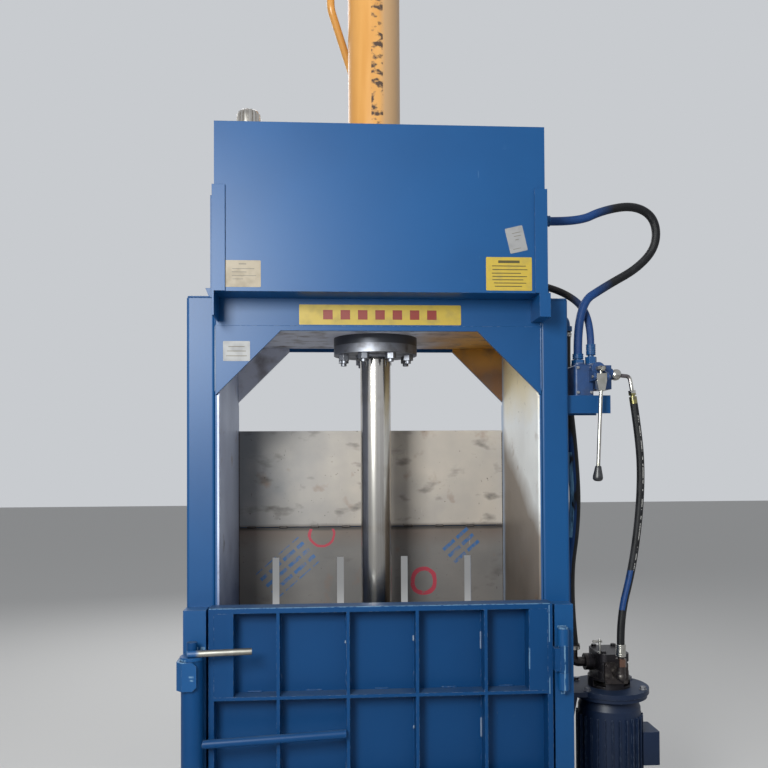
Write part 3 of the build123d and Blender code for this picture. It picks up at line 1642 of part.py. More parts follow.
# Suction elbow at the pump's side
side_elbow_points = [
    (suction_port[0] - 20, suction_port[1], suction_port[2]),
    (suction_rise[0], suction_port[1], suction_port[2]),
    (suction_rise[0], suction_port[1], suction_rise[2] - 4),
]
side_bar, side_bar_length = bent_bar(side_elbow_points, [19], suction_pipe_diameter)
with BuildPart() as suction_elbow:
    with BuildSketch(side_plane(suction_port[0] - 26)):
        with Locations((suction_port[1], suction_port[2])):
            Circle(28)
    extrude(amount=10)
    add(side_bar)
    with BuildSketch(Plane.XY.offset(suction_rise[2] - collar_height)):
        with Locations((suction_rise[0], suction_port[1])):
            Circle(suction_hose_diameter / 2 + 4)
    extrude(amount=collar_height)

# All the fittings that the hoses end in
with BuildPart() as hose_fittings:
    add(fitting((port_a[0], port_a[1], boss_top), (0, 0, 1), return_rise, 38, return_hose_diameter))
    add(fitting((port_b[0], port_b[1], boss_top), (0, 0, 1), cylinder_rise, 34, cylinder_hose_diameter))
    add(fitting(return_nipple, (1, 0, 0), nipple_length, 38, return_hose_diameter))
    add(fitting(union_place, (1, 0, 0), union_length, 34, cylinder_hose_diameter))
    add(valve_elbow.part)
    add(pump_elbow.part)
    add(suction_elbow.part)
hose_fittings.part.label = "hose_fittings"
export_step(hose_fittings.part, "parts/hose_fittings.step")
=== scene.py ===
"""Dresses the upright hydraulic compactor for metal chips.

Adds its hoses, seams, fasteners and labels, and gives every piece its finish. The classes hold
their sizes in millimetres, and a mesh is in metres once it is made.
"""

from __future__ import annotations

import logging
import math
import random
from dataclasses import dataclass
from enum import Enum
from typing import Any, Sequence

import bmesh
import bpy
from mathutils import Matrix, Vector


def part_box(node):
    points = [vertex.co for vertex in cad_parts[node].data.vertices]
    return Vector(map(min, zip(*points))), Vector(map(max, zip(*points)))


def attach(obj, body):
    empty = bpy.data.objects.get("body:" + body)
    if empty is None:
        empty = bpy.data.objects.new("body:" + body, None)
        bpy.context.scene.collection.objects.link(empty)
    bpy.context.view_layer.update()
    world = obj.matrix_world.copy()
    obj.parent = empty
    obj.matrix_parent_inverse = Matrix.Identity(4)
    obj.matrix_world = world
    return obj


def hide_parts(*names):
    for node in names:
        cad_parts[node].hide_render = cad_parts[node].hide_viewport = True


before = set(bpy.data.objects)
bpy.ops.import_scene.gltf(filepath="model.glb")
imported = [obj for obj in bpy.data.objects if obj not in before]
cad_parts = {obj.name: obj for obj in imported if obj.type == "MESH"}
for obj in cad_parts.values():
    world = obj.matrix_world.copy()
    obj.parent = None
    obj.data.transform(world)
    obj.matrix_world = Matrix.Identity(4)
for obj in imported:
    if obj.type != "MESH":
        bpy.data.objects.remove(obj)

LOG = logging.getLogger("compactor")
Point = tuple[float, float, float]
Socket = bpy.types.NodeSocket

PAINT = "#0c487b"  # the machine's blue, also where it reaches plates and fittings
OVERSPRAY = "#11396e"  # the same blue as a thin mist on rubber
FRONT_FACES = (-460.0, -332.0)  # depths that take in the fronts of door, pads and lock
REAR_ENDS = (286.0, 300.0)  # depths that take in the rear ends of the side plates


class Body(Enum):
    """Moving bodies that a piece can ride on."""

    FRAME = "frame"
    RAM = "ram"
    DOOR = "door"
    LOCK = "lock"
    LEVER = "hand_lever"
    BREATHER = "breather"


class Slot(Enum):
    """Material slots, each named by a finish."""

    BLUE = "blue_paint"
    PLATE = "bare_plate"
    LINING = "lining_plate"
    YELLOW = "yellow_paint"
    MACHINED = "machined_steel"
    CHROME = "hard_chrome"
    ZINC = "zinc_plate"
    PLASTIC = "black_plastic"
    IRON = "cast_iron"
    ALUMINIUM = "pump_aluminium"
    MOTOR = "motor_paint"
    RUBBER = "hose_rubber"


def metres(*values: float) -> Vector:
    """Turn millimetres into a vector in metres."""
    return Vector(values) / 1000


def linear(code: str) -> tuple[float, float, float, float]:
    """Turn an sRGB colour into linear light.

    Args:
        code: A hash sign and six hex digits.

    Returns:
        Linear red, green and blue, with an alpha of one.
    """
    values = [int(code[i : i + 2], 16) / 255 for i in (1, 3, 5)]
    light = [v / 12.92 if v <= 0.04045 else ((v + 0.055) / 1.055) ** 2.4 for v in values]
    return (light[0], light[1], light[2], 1.0)


def add_node(
    tree: bpy.types.NodeTree, kind: str, inputs: dict[Any, Any] | None = None, **settings: Any
) -> bpy.types.Node:
    """Add a shader node with its settings and links.

    Args:
        tree: The node tree that takes the node.
        kind: The node's class name.
        inputs: Input name or number, with a value or the output that feeds it.
        **settings: Values of the node's own attributes.

    Returns:
        The new node.
    """
    node = tree.nodes.new(kind)
    for name, value in settings.items():
        setattr(node, name, value)
    for key, value in (inputs or {}).items():
        if isinstance(value, bpy.types.NodeSocket):
            tree.links.new(value, node.inputs[key])
        else:
            node.inputs[key].default_value = value
    return node


def calculated(tree: bpy.types.NodeTree, operation: str, *values: Any) -> Socket:
    """Result of one math node.

    Args:
        tree: The material's node tree.
        operation: The node's operation.
        *values: Its inputs in order, each a number or the output that feeds it.

    Returns:
        The result.
    """
    node = add_node(tree, "ShaderNodeMath", dict(enumerate(values)), operation=operation)
    return node.outputs[0]


def bumped(
    tree: bpy.types.NodeTree,
    height: Socket,
    strength: float,
    depth: float,
    normal: Socket | None = None,
) -> Socket:
    """Normal that follows a relief.

    Args:
        tree: The material's node tree.
        height: The relief, from 0 to 1.
        strength: Share of the relief that shows.
        depth: Depth of the relief in millimetres.
        normal: The normal under it, if it isn't the surface's own.

    Returns:
        The normal.
    """
    inputs: dict[str, Any] = {"Strength": strength, "Distance": depth / 1000, "Height": height}
    if normal is not None:
        inputs["Normal"] = normal
    return add_node(tree, "ShaderNodeBump", inputs).outputs[0]


def patches(
    tree: bpy.types.NodeTree,
    place: Socket,
    size: float,
    low: float,
    high: float,
    stretch: Point = (1.0, 1.0, 1.0),
    shift: float = 0.0,
) -> Socket:
    """Mask of irregular patches of a real size, as dust, stains or scuffs lie.

    Args:
        tree: The material's node tree.
        place: Coordinates in metres.
        size: Patch size in millimetres.
        low: Noise level where the mask begins.
        high: Noise level where the mask is full.
        stretch: How many times longer a patch is along each axis.
        shift: Moves the pattern, so that two masks differ.

    Returns:
        A mask from 0 to 1.
    """
    spread = add_node(
        tree,
        "ShaderNodeMapping",
        {"Vector": place, "Location": (shift, shift, shift), "Scale": [1 / s for s in stretch]},
    )
    noise = add_node(
        tree,
        "ShaderNodeTexNoise",
        {"Vector": spread.outputs[0], "Scale": 1000 / size, "Detail": 4.0},
    )
    cut = add_node(
        tree,
        "ShaderNodeMapRange",
        {"Value": noise.outputs["Fac"], "From Min": low, "From Max": high},
    )
    return cut.outputs[0]


def rounded_edge(tree: bpy.types.NodeTree, radius: float) -> tuple[Socket, Socket]:
    """Rounded normal at a piece's edges, and a mask of those edges.

    Args:
        tree: The material's node tree.
        radius: Edge radius in millimetres.

    Returns:
        The rounded normal and a mask that is 1 on an edge.
    """
    rounded = add_node(tree, "ShaderNodeBevel", {"Radius": radius / 1000}, samples=4)
    flat = add_node(tree, "ShaderNodeNewGeometry")
    match = add_node(
        tree,
        "ShaderNodeVectorMath",
        {0: rounded.outputs[0], 1: flat.outputs["Normal"]},
        operation="DOT_PRODUCT",
    )
    mask = add_node(
        tree,
        "ShaderNodeMapRange",
        {"Value": match.outputs["Value"], "From Min": 0.985, "From Max": 0.86},
    )
    return rounded.outputs[0], mask.outputs[0]


def coats(tree: bpy.types.NodeTree, base: str, over: Sequence[tuple[Socket, str]]) -> Socket:
    """Lay colours over each other, each where its mask says.

    Args:
        tree: The material's node tree.
        base: The lowest colour.
        over: Masks with their colours, from the lowest to the top one.

    Returns:
        The colour that is seen.
    """
    seen: Any = linear(base)
    for mask, code in over:
        mixed = add_node(
            tree, "ShaderNodeMix", {0: mask, 6: seen, 7: linear(code)}, data_type="RGBA"
        )
        seen = mixed.outputs[2]
    return seen


def levels(tree: bpy.types.NodeTree, base: float, over: Sequence[tuple[Socket, float]]) -> Socket:
    """Lay values over each other, each where its mask says.

    Args:
        tree: The material's node tree.
        base: The lowest value.
        over: Masks with their values, from the lowest to the top one.

    Returns:
        The value that holds.
    """
    seen: Any = base
    for mask, value in over:
        seen = add_node(tree, "ShaderNodeMix", {0: mask, 2: seen, 3: value}).outputs[0]
    return seen


def region(
    tree: bpy.types.NodeTree,
    place: Socket,
    x: tuple[float, float] | None = None,
    y: tuple[float, float] | None = None,
    z: tuple[float, float] | None = None,
) -> Socket:
    """Mask of a box, open along the axes that aren't given.

    Args:
        tree: The material's node tree.
        place: Coordinates in metres.
        x: Lowest and highest X in millimetres.
        y: Lowest and highest Y.
        z: Lowest and highest Z.

    Returns:
        A mask that is 1 inside.
    """
    axes = add_node(tree, "ShaderNodeSeparateXYZ", {0: place})
    seen: Any = 1.0
    for axis, ends in (("X", x), ("Y", y), ("Z", z)):
        if ends is not None:
            middle, reach = sum(ends) / 2000, (ends[1] - ends[0]) / 2000
            inside = calculated(tree, "COMPARE", axes.outputs[axis], middle, reach)
            seen = calculated(tree, "MULTIPLY", seen, inside)
    return seen


def both(tree: bpy.types.NodeTree, first: Socket, second: Socket) -> Socket:
    """Mask of where two masks overlap."""
    return calculated(tree, "MULTIPLY", first, second)


@dataclass(frozen=True)
class Finish:
    """A surface finish, which makes its material once under its own title."""

    title: str
    slot: Slot

    def surface(self, tree: bpy.types.NodeTree, place: Socket) -> dict[str, Any]:
        """Sockets of the shader that this finish sets."""
        raise NotImplementedError

    def material(self) -> bpy.types.Material:
        """Make the finish's material, or return the one made before.

        Returns:
            The material.
        """
        made = bpy.data.materials.get(self.title)
        if made is None:
            made = bpy.data.materials.new(self.title)
            made.use_nodes = True
            tree = made.node_tree
            tree.nodes.clear()
            place = add_node(tree, "ShaderNodeTexCoord").outputs["Object"]
            shader = add_node(tree, "ShaderNodeBsdfPrincipled", self.surface(tree, place))
            add_node(tree, "ShaderNodeOutputMaterial", {"Surface": shader.outputs["BSDF"]})
        return made


@dataclass(frozen=True)
class Enamel(Finish):
    """Alkyd enamel sprayed on welded steel.

    Gives the eye an even half-gloss blue with a faint orange peel, dust lying on upward faces,
    a few pale scuffs, edges rubbed through to primer here and there, and pale marks at listed
    places, most of them rubbed paint and one a painted highlight on the hinge knuckle.
    """

    title: str = "sprayed_alkyd_enamel_blue"
    slot: Slot = Slot.BLUE
    colour: str = PAINT
    deep: str = "#0a4374"
    pale: str = "#335d88"
    chip: str = "#8b9aab"
    rub_and_highlight: str = "#5f82a0"
    rough: float = 0.42
    wear: float = 0.5
    shine: float = 0.25
    # Pale marks by lowest and highest X and Z; the hinge knuckle's is a painted highlight
    rubbed: tuple[tuple[float, float, float, float], ...] = ()

    def surface(self, tree: bpy.types.NodeTree, place: Socket) -> dict[str, Any]:
        """Even colour with dust, scuffs and rubbed edges over an orange peel.

        Args:
            tree: The material's node tree.
            place: Coordinates in metres.

        Returns:
            The shader's sockets.
        """
        normal, edge = rounded_edge(tree, 1.6)
        clouds = patches(tree, place, 700, 0.42, 0.62)
        specks = patches(tree, place, 60, 0.7, 1.0, shift=3.1)
        scuffs = patches(tree, place, 8, 0.76, 0.80, stretch=(1, 1, 9), shift=7.7)
        nicks = patches(tree, place, 13, 0.52, 0.58, shift=5.2)
        chips = both(tree, edge, nicks)
        worn = calculated(tree, "MULTIPLY", chips, self.wear)
        settled = self.settled(tree, place)
        layers = [
            (clouds, self.deep),
            (specks, self.pale),
            (settled, self.pale),
            (scuffs, self.pale),
            (worn, self.chip),
        ]
        torn = patches(tree, place, 9, 0.40, 0.48, stretch=(1, 1, 3), shift=1.9)
        for left, right, low, high in self.rubbed:
            mark = region(tree, place, x=(left, right), y=FRONT_FACES, z=(low, high))
            layers.append((both(tree, mark, torn), self.rub_and_highlight))
        rough = levels(tree, self.rough, [(settled, 0.6), (scuffs, 0.6)])
        # Orange peel is about 1 mm wide, drawn 5 mm wide so that it shows in the view
        peel = add_node(
            tree, "ShaderNodeTexNoise", {"Vector": place, "Scale": 200.0, "Detail": 1.0}
        )
        return {
            "Base Color": coats(tree, self.colour, layers),
            "Roughness": rough,
            "Specular IOR Level": self.shine,
            "Normal": bumped(tree, peel.outputs["Fac"], 0.06, 1.0, normal),
        }

    def settled(self, tree: bpy.types.NodeTree, place: Socket) -> Socket:
        """Thin dust on faces that look up.

        Args:
            tree: The material's node tree.
            place: Coordinates in metres.

        Returns:
            A mask from 0 to about a half.
        """
        flat = add_node(tree, "ShaderNodeNewGeometry")
        axes = add_node(tree, "ShaderNodeSeparateXYZ", {0: flat.outputs["Normal"]})
        up = add_node(
            tree,
            "ShaderNodeMapRange",
            {"Value": axes.outputs["Z"], "From Min": 0.75, "From Max": 1.0, "To Max": 0.55},
        )
        uneven = patches(tree, place, 110, 0.25, 0.62, shift=6.6)
        return both(tree, up.outputs[0], uneven)


class Face(Enum):
    """Which side of a plate is painted, by the axis that it faces along."""

    NONE = "none"
    LEFT = "left"
    RIGHT = "right"
    REAR = "rear"


@dataclass(frozen=True)
class Tone:
    """Broad change of tone between two places along one axis, in millimetres.

    A lean moves both places along the axis for each millimetre of depth.
    """

    axis: str
    start: float
    full: float
    colour: str
    lean: float = 0.0

    def mask(self, tree: bpy.types.NodeTree, place: Socket) -> Socket:
        """Mask that grows from the start to the full place, with a ragged middle.

        Args:
            tree: The material's node tree.
            place: Coordinates in metres.

        Returns:
            A mask from 0 to 1.
        """
        ragged = add_node(
            tree, "ShaderNodeTexNoise", {"Vector": place, "Scale": 7.0, "Detail": 5.0}
        )
        reach = (self.full - self.start) / 1000
        shaken = add_node(
            tree,
            "ShaderNodeVectorMath",
            {0: ragged.outputs["Color"], 1: [reach * 0.8] * 3, 2: place},
            operation="MULTIPLY_ADD",
        )
        axes = add_node(tree, "ShaderNodeSeparateXYZ", {0: shaken.outputs[0]})
        along = axes.outputs[self.axis]
        leant = calculated(tree, "MULTIPLY_ADD", axes.outputs["Y"], -self.lean, along)
        return add_node(
            tree,
            "ShaderNodeMapRange",
            {
                "Value": leant,
                "From Min": self.start / 1000 + reach * 0.4,
                "From Max": self.full / 1000 + reach * 0.4,
            },
        ).outputs[0]


@dataclass(frozen=True)
class MillPlate(Finish):
    """Steel plate with its mill surface, rubbed by chips.

    Gives the eye a pale warm grey with a soft sheen, cloudy tones, a few brown stains, fine
    scratches mostly up and down, and small dark specks.
    """

    title: str = "mill_plate"
    slot: Slot = Slot.PLATE
    colour: str = "#a39c92"
    stain: str = "#8b857c"
    soot: str = "#4b4642"
    rust: str = "#7b5c45"
    scratch: str = "#c9c4bc"
    bar_paint: str = "#2d5f95"
    ring_paint: str = "#a52f42"
    metal: float = 0.15
    # Broad tones over the plate; the right wall's are mostly painted light, shadow and shade.
    tones: tuple[Tone, ...] = ()
    painted: Face = Face.NONE
    painted_from: float = 0.0
    marked: bool = False
    smeared: float = 0.66
    # Centre X and Z, half length and half height of each field of bars
    bar_fields: tuple[tuple[float, float, float, float], ...] = (
        (-318, 972, 105, 62),
        (338, 1048, 72, 50),
    )
    bar_lean: float = -41.0
    bar_pitch: float = 32.0
    bar_width: float = 13.0
    break_pitch: float = 68.0
    break_width: float = 12.0
    # Centre X and Z, radius and half width of each ring
    ring_places: tuple[tuple[float, float, float, float], ...] = (
        (205, 924, 45, 7.5),
        (-181, 1107, 46, 4.5),
    )
    ring_levels: tuple[float, float] = (850, 1116)

    def surface(self, tree: bpy.types.NodeTree, place: Socket) -> dict[str, Any]:
        """Scale, stains, scratches and specks, with paint behind and shipping marks where asked.

        Args:
            tree: The material's node tree.
            place: Coordinates in metres.

        Returns:
            The shader's sockets.
        """
        normal, _ = rounded_edge(tree, 1.5)
        clouds = patches(tree, place, 260, 0.38, 0.66)
        smears = patches(
            tree, place, 75, self.smeared, self.smeared + 0.2, stretch=(1.6, 1.6, 0.8), shift=2.3
        )
        specks = patches(tree, place, 11, 0.71, 0.74, shift=4.9)
        lines = patches(tree, place, 5, 0.72, 0.77, stretch=(1, 1, 22), shift=8.8)
        rusty = patches(tree, place, 90, 0.64, 0.86, shift=11.0)
        cuts = patches(tree, place, 5, 0.71, 0.75, stretch=(1, 1, 11), shift=14.2)
        layers = [(clouds, self.stain)]
        # Broad tones; on the right wall they are mostly painted light, shadow and shade.
        layers += [(tone.mask(tree, place), tone.colour) for tone in self.tones]
        layers += [
            (rusty, self.rust),
            (smears, self.soot),
            (specks, self.soot),
            (cuts, self.soot),
            (lines, self.scratch),
        ]
        metal: Any = self.metal
        if self.marked:
            layers += [
                (self.bars(tree, place), self.bar_paint),
                (self.rings(tree, place), self.ring_paint),
            ]
        if self.painted is not Face.NONE:
            back = self.behind(tree, place)
            layers.append((back, PAINT))
            metal = levels(tree, self.metal, [(back, 0.0)])
        rough = levels(tree, 0.48, [(clouds, 0.56), (smears, 0.7), (lines, 0.34)])
        grain = add_node(
            tree, "ShaderNodeTexNoise", {"Vector": place, "Scale": 160.0, "Detail": 5.0}
        )
        return {
            "Base Color": coats(tree, self.colour, layers),
            "Metallic": metal,
            "Roughness": rough,
            "Normal": bumped(tree, grain.outputs["Fac"], 0.18, 1.0, normal),
        }

    def behind(self, tree: bpy.types.NodeTree, place: Socket) -> Socket:
        """Mask of the painted side.

        Args:
            tree: The material's node tree.
            place: Coordinates in metres.

        Returns:
            A mask that is 1 beyond the painted side's plane and on the rear ends.
        """
        axes = add_node(tree, "ShaderNodeSeparateXYZ", {0: place})
        axis = "Y" if self.painted is Face.REAR else "X"
        side = "LESS_THAN" if self.painted is Face.LEFT else "GREATER_THAN"
        beyond = calculated(tree, side, axes.outputs[axis], self.painted_from / 1000)
        return calculated(tree, "MAXIMUM", beyond, region(tree, place, y=REAR_ENDS))

    def bars(self, tree: bpy.types.NodeTree, place: Socket) -> Socket:
        """Plain slanted bars of blue marking paint.

        Args:
            tree: The material's node tree.
            place: Coordinates in metres.

        Returns:
            A mask that is 1 on the bars.
        """
        masks = []
        for x, z, half_length, half_height in self.bar_fields:
            local = add_node(
                tree,
                "ShaderNodeMapping",
                {
                    "Vector": place,
                    "Location": (x / 1000, 0, z / 1000),
                    "Rotation": (0, math.radians(self.bar_lean), 0),
                },
                vector_type="TEXTURE",
            )
            axes = add_node(tree, "ShaderNodeSeparateXYZ", {0: local.outputs[0]})
            along, across = axes.outputs["X"], axes.outputs["Z"]
            box = both(
                tree,
                calculated(tree, "COMPARE", along, 0.0, half_length / 1000),
                calculated(tree, "COMPARE", across, 0.0, half_height / 1000),
            )
            rows = calculated(tree, "PINGPONG", across, self.bar_pitch / 2000)
            breaks = calculated(tree, "PINGPONG", along, self.break_pitch / 2000)
            lines = both(
                tree,
                calculated(tree, "LESS_THAN", rows, self.bar_width / 2000),
                calculated(tree, "GREATER_THAN", breaks, self.break_width / 2000),
            )
            masks.append(both(tree, box, lines))
        joined = calculated(tree, "MAXIMUM", *masks)
        return both(tree, joined, patches(tree, place, 14, 0.72, 0.45, shift=6.1))

    def rings(self, tree: bpy.types.NodeTree, place: Socket) -> Socket:
        """Rings drawn by hand with red marking paint.

        Args:
            tree: The material's node tree.
            place: Coordinates in metres.

        Returns:
            A mask that is 1 on the rings.
        """
        wobble = add_node(tree, "ShaderNodeTexNoise", {"Vector": place, "Scale": 14.0})
        shaken = add_node(
            tree,
            "ShaderNodeVectorMath",
            {0: wobble.outputs["Color"], 1: (0.02, 0.0, 0.02), 2: place},
            operation="MULTIPLY_ADD",
        )
        masks = []
        for x, z, radius, half_width in self.ring_places:
            local = add_node(
                tree,
                "ShaderNodeMapping",
                {
                    "Vector": shaken.outputs[0],
                    "Location": (-x / 1000, 0, -z / 1000),
                    "Scale": (1.0, 0.0001, 1.0),
                },
                vector_type="POINT",
            )
            reach = add_node(
                tree, "ShaderNodeVectorMath", {0: local.outputs[0]}, operation="LENGTH"
            )
            far = reach.outputs["Value"]
            masks.append(calculated(tree, "COMPARE", far, radius / 1000, half_width / 1000))
        joined = calculated(tree, "MAXIMUM", *masks)
        brushed = patches(tree, place, 16, 0.74, 0.6, shift=7.7)
        return both(tree, both(tree, joined, brushed), region(tree, place, z=self.ring_levels))


@dataclass(frozen=True)
class Lining(Finish):
    """Plate lining of the feed mouth, with iron-oxide primer on its right half.

    Gives the eye dull grey scale on the left and a dusty orange-brown primer on the right.
    """

    title: str = "primed_lining_plate"
    slot: Slot = Slot.LINING
    grey: str = "#cdd0dc"
    primer: str = "#69431f"
    ochre: str = "#c08a35"
    dirt: str = "#5b4a3f"
    scratch: str = "#b9b2a8"
    rubbed: str = "#b6aa9a"
    painted: tuple[float, float] = (1834, 1840)

    def surface(self, tree: bpy.types.NodeTree, place: Socket) -> dict[str, Any]:
        """Grey plate that turns to primer beyond the cylinder's right side.

        Args:
            tree: The material's node tree.
            place: Coordinates in metres.

        Returns:
            The shader's sockets.
        """
        normal, edge = rounded_edge(tree, 1.2)
        right = Tone("X", 120, 330, self.primer).mask(tree, place)
        upper = Tone("Z", 1700, 1790, self.ochre).mask(tree, place)
        bright = both(tree, right, upper)
        stains = patches(tree, place, 70, 0.5, 0.8, shift=1.7)
        lines = patches(tree, place, 5, 0.68, 0.76, stretch=(1, 18, 1), shift=2.9)
        colour = coats(
            tree,
            self.grey,
            [
                (right, self.primer),
                (bright, self.ochre),
                (stains, self.dirt),
                (lines, self.scratch),
                (edge, self.rubbed),
                (region(tree, place, z=self.painted), PAINT),
            ],
        )
        return {"Base Color": colour, "Roughness": 0.62, "Metallic": 0.1, "Normal": normal}


@dataclass(frozen=True)
class FlakedEnamel(Finish):
    """Yellow enamel on the cylinder, brushed over scale and flaking.

    Gives the eye a warm yellow gloss with rubbed paler bands, a greyer right side that is
    painted shade, and a ragged row of dark flakes.
    """

    title: str = "brushed_enamel_yellow"
    slot: Slot = Slot.YELLOW
    colour: str = "#c78f48"
    light: str = "#d5a05a"
    # Greyer colour of the right side, painted shade
    film: str = "#b6946c"
    bare: str = "#4a3a30"
    steel: str = "#54565c"
    painted_from: float = 1800.0
    strip: tuple[float, float] = (-14.0, 26.0)
    strip_from: float = 2400.0

    def surface(self, tree: bpy.types.NodeTree, place: Socket) -> dict[str, Any]:
        """Yellow with broad lighter brush bands and flakes in a row down the front.

        Args:
            tree: The material's node tree.
            place: Coordinates in metres.

        Returns:
            The shader's sockets.
        """
        bands = patches(tree, place, 60, 0.4, 0.7, stretch=(1, 1, 9))
        flakes = patches(tree, place, 44, 0.5, 0.6, stretch=(0.7, 1, 0.5), shift=6.2)
        # The right side turns greyer: painted shade
        dull = Tone("X", 12, 34, self.film).mask(tree, place)
        axes = add_node(tree, "ShaderNodeSeparateXYZ", {0: place})
        front = calculated(tree, "LESS_THAN", axes.outputs["Y"], 0.0)
        high = calculated(tree, "GREATER_THAN", axes.outputs["Z"], self.strip_from / 1000)
        strip = both(tree, region(tree, place, x=self.strip), both(tree, front, high))
        ragged = both(tree, strip, flakes)
        steel = calculated(tree, "LESS_THAN", axes.outputs["Z"], self.painted_from / 1000)
        layers = [
            (bands, self.light),
            (dull, self.film),
            (ragged, self.bare),
            (steel, self.steel),
        ]
        rough = [(bands, 0.4), (ragged, 0.8), (steel, 0.42)]
        return {
            "Base Color": coats(tree, self.colour, layers),
            "Roughness": levels(tree, 0.32, rough),
            "Metallic": levels(tree, 0.0, [(steel, 0.8)]),
            "Specular IOR Level": 0.35,
        }


@dataclass(frozen=True)
class Metal(Finish):
    """Bare, plated or cast metal.

    Gives the eye the metal's own colour, a grain of a real width, a few darker stains and, where
    asked, pale edges that are partly rubbed metal and partly a painted highlight.
    """

    title: str = "turned_steel"
    slot: Slot = Slot.MACHINED
    colour: str = "#8f8d8a"
    stain: str = "#5a5754"
    rough: float = 0.34
    metallic: float = 1.0
    grain: float = 2.0
    grain_stretch: Point = (8.0, 8.0, 0.4)
    depth: float = 0.12
    stained: float = 0.5
    # Colour of pale edges: partly rubbed metal, partly a painted highlight
    edge_rub_and_highlight: str | None = None
    fade: Tone | None = None

    def surface(self, tree: bpy.types.NodeTree, place: Socket) -> dict[str, Any]:
        """Metal with stains and a bump for its grain.

        Args:
            tree: The material's node tree.
            place: Coordinates in metres.

        Returns:
            The shader's sockets.
        """
        normal, edge = rounded_edge(tree, 0.8)
        stains = patches(tree, place, 45, self.stained, self.stained + 0.28, shift=1.3)
        grain = patches(tree, place, self.grain, 0.3, 0.7, stretch=self.grain_stretch)
        layers = [(stains, self.stain)]
        metallic: Any = self.metallic
        if self.edge_rub_and_highlight is not None:
            layers.append((edge, self.edge_rub_and_highlight))
        if self.fade is not None:
            painted = self.fade.mask(tree, place)
            layers.append((painted, self.fade.colour))
            metallic = levels(tree, self.metallic, [(painted, 0.0)])
        rough = [(stains, self.rough + 0.15), (grain, self.rough + 0.04)]
        return {
            "Base Color": coats(tree, self.colour, layers),
            "Roughness": levels(tree, self.rough, rough),
            "Metallic": metallic,
            "Normal": bumped(tree, grain, self.depth, 0.5, normal),
        }


@dataclass(frozen=True)
class Fittings(Finish):
    """Zinc-plated hose fittings after the paint shop and a first fill of oil.

    Gives the eye bright plate at the valve's ball elbow, paint on those near the tank with pale
    edges that are partly rubbed paint and partly a painted highlight, and dull oily steel with a
    coppery nut at the pump.
    """

    title: str = "zinc_plated_fittings"
    slot: Slot = Slot.ZINC
    bright: str = "#c3c1bb"
    tube: str = "#716b6e"
    yellow: str = "#9a9362"
    oily: str = "#3b3636"
    copper: str = "#6d5246"
    stain: str = "#6d6a64"
    # Pale edges of the painted fittings: partly rubbed paint, partly a painted highlight
    rubbed: str = "#7f9bb5"

    def surface(self, tree: bpy.types.NodeTree, place: Socket) -> dict[str, Any]:
        """Bright, painted, yellowed, oily and copper parts by their places.

        Args:
            tree: The material's node tree.
            place: Coordinates in metres.

        Returns:
            The shader's sockets.
        """
        normal, edge = rounded_edge(tree, 0.8)
        painted = region(tree, place, x=(508, 760), z=(1692, 2400))
        oily = region(tree, place, z=(500, 1000))
        coppery = region(tree, place, x=(776, 800), y=(-225, -180), z=(702, 727))
        shell = region(tree, place, x=(765, 805), y=(-225, -180), z=(733, 775))
        bent = region(tree, place, x=(783, 825), z=(1500, 1700))
        ferrule = region(tree, place, x=(800, 860), z=(1500, 1592))
        stains = patches(tree, place, 14, 0.5, 0.8, shift=1.3)
        layers = [
            (bent, self.tube),
            (ferrule, self.yellow),
            (oily, self.oily),
            (coppery, self.copper),
            (shell, self.bright),
            (stains, self.stain),
            (painted, PAINT),
            # Pale edges on the paint: partly rubbed paint, partly a painted highlight
            (both(tree, painted, edge), self.rubbed),
        ]
        rough = [(bent, 0.36), (oily, 0.42), (shell, 0.28), (painted, 0.45)]
        return {
            "Base Color": coats(tree, self.bright, layers),
            "Metallic": levels(tree, 1.0, [(oily, 0.75), (shell, 1.0), (painted, 0.0)]),
            "Roughness": levels(tree, 0.26, rough),
            "Normal": normal,
        }


@dataclass(frozen=True)
class Chrome(Finish):
    """Hard chrome, ground and polished along the rod.

    Gives the eye a mirror with a very fine lengthwise haze.
    """

    title: str = "ground_hard_chrome"
    slot: Slot = Slot.CHROME
    colour: str = "#cfcbc6"
    haze: str = "#b9b4ad"
    film: str = "#a79f95"
    rough: float = 0.17

    def surface(self, tree: bpy.types.NodeTree, place: Socket) -> dict[str, Any]:
        """Mirror with a little lengthwise haze.

        Args:
            tree: The material's node tree.
            place: Coordinates in metres.

        Returns:
            The shader's sockets.
        """
        haze = patches(tree, place, 6, 0.35, 0.75, stretch=(1, 1, 60))
        film = patches(tree, place, 90, 0.5, 0.8, shift=5.0)
        rough = [(haze, self.rough + 0.05), (film, self.rough + 0.08)]
        return {
            "Base Color": coats(tree, self.colour, [(haze, self.haze), (film, self.film)]),
            "Roughness": levels(tree, self.rough, rough),
            "Metallic": 1.0,
        }


